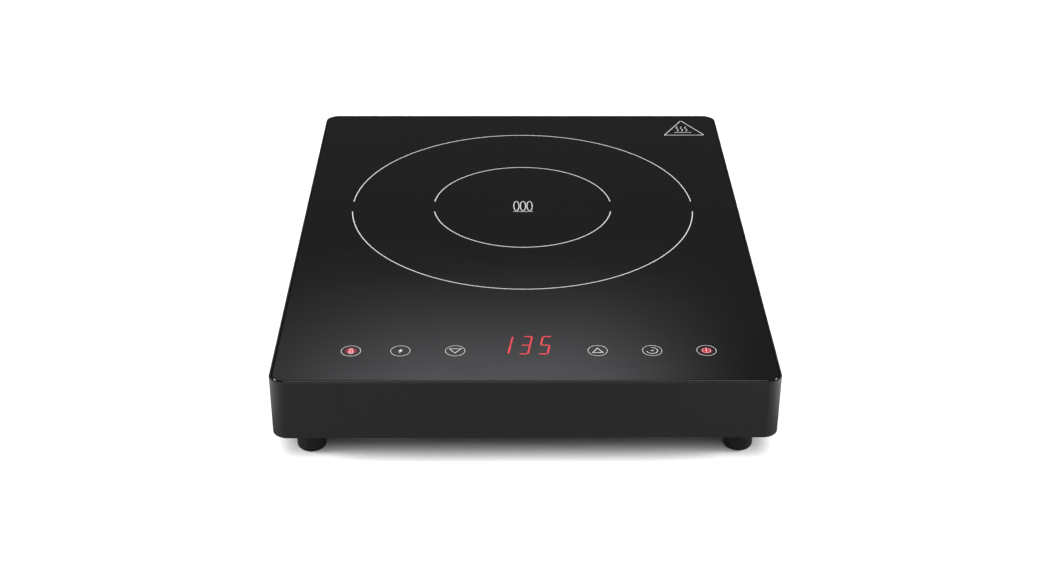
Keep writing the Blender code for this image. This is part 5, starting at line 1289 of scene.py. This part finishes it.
def place_camera(scene):
    """The camera in front of the hob, looking down on it."""
    camera = bpy.data.cameras.new("camera")
    camera.lens = CAMERA_LENS
    camera.sensor_width = CAMERA_SENSOR
    viewer = bpy.data.objects.new("camera", camera)
    turn = (
        Matrix.Rotation(CAMERA_YAW, 4, "Z")
        @ Matrix.Rotation(math.pi / 2 - CAMERA_PITCH, 4, "X")
        @ Matrix.Rotation(CAMERA_ROLL, 4, "Z")
    )
    viewer.matrix_world = Matrix.Translation(CAMERA_PLACE) @ turn
    scene.collection.objects.link(viewer)
    scene.camera = viewer


class HOB_OT_stage(bpy.types.Operator):
    """Set up the white floor, the studio lights, the room and the camera"""

    bl_idname = "hob.stage"
    bl_label = "Stage"

    def execute(self, context):
        scene = context.scene
        white_floor(tuple(scene.hob_colours.floor))
        angle = math.radians(SUN_ELEVATION)
        sun_place = (0.0, -SUN_DISTANCE * math.cos(angle), SUN_DISTANCE * math.sin(angle))
        sun = add_light(
            "key_sun", "SUN", sun_place, (0, 0, 0), SUN_STRENGTH, angle=math.radians(SUN_SPREAD)
        )
        sun.visible_glossy = False
        rear_card()
        for glow in SWEEP_GLOWS:
            sweep_glow(*glow)
        for name, location, target, power, wide, high, lights_floor in LIGHT_BOXES:
            box = add_light(
                name, "AREA", location, target, power, shape="RECTANGLE", size=wide, size_y=high
            )
            box.visible_diffuse = lights_floor
        studio_room(scene)
        scene.view_settings.view_transform = "Standard"
        place_camera(scene)
        return {"FINISHED"}


# ---------------------------------------------------------------- panel and registration


class HOB_PT_panel(bpy.types.Panel):
    """Lists the builders, the sizes and the colours."""

    bl_idname = "HOB_PT_panel"
    bl_label = "Induction hob"
    bl_space_type = "VIEW_3D"
    bl_region_type = "UI"
    bl_category = "Hob"

    def draw(self, context):
        column = self.layout.column(align=True)
        for operator in BUILDERS:
            column.operator(operator.bl_idname)
        for group in (context.scene.hob_sizes, context.scene.hob_colours):
            box = self.layout.box()
            for name in group.bl_rna.properties.keys():
                if name not in ("rna_type", "name"):
                    box.prop(group, name)


BUILDERS = (
    HOB_OT_casing, HOB_OT_glass, HOB_OT_printing, HOB_OT_lights, HOB_OT_feet, HOB_OT_base,
    HOB_OT_gland, HOB_OT_inside, HOB_OT_stage,
)
CLASSES = (HobSizes, HobColours, *BUILDERS, HOB_PT_panel)


def register():
    """Registers the classes and hangs the two groups of properties on the scene."""
    for kind in CLASSES:
        bpy.utils.register_class(kind)
    bpy.types.Scene.hob_sizes = bpy.props.PointerProperty(type=HobSizes)
    bpy.types.Scene.hob_colours = bpy.props.PointerProperty(type=HobColours)


def unregister():
    """Undoes register."""
    del bpy.types.Scene.hob_sizes
    del bpy.types.Scene.hob_colours
    for kind in reversed(CLASSES):
        bpy.utils.unregister_class(kind)


def main():
    """Builds everything, piece by piece."""
    register()
    bpy.ops.hob.casing()
    bpy.ops.hob.glass()
    bpy.ops.hob.printing()
    bpy.ops.hob.lights()
    bpy.ops.hob.feet()
    bpy.ops.hob.base()
    bpy.ops.hob.gland()
    bpy.ops.hob.inside()
    bpy.ops.hob.stage()


if __name__ == "__main__":
    main()
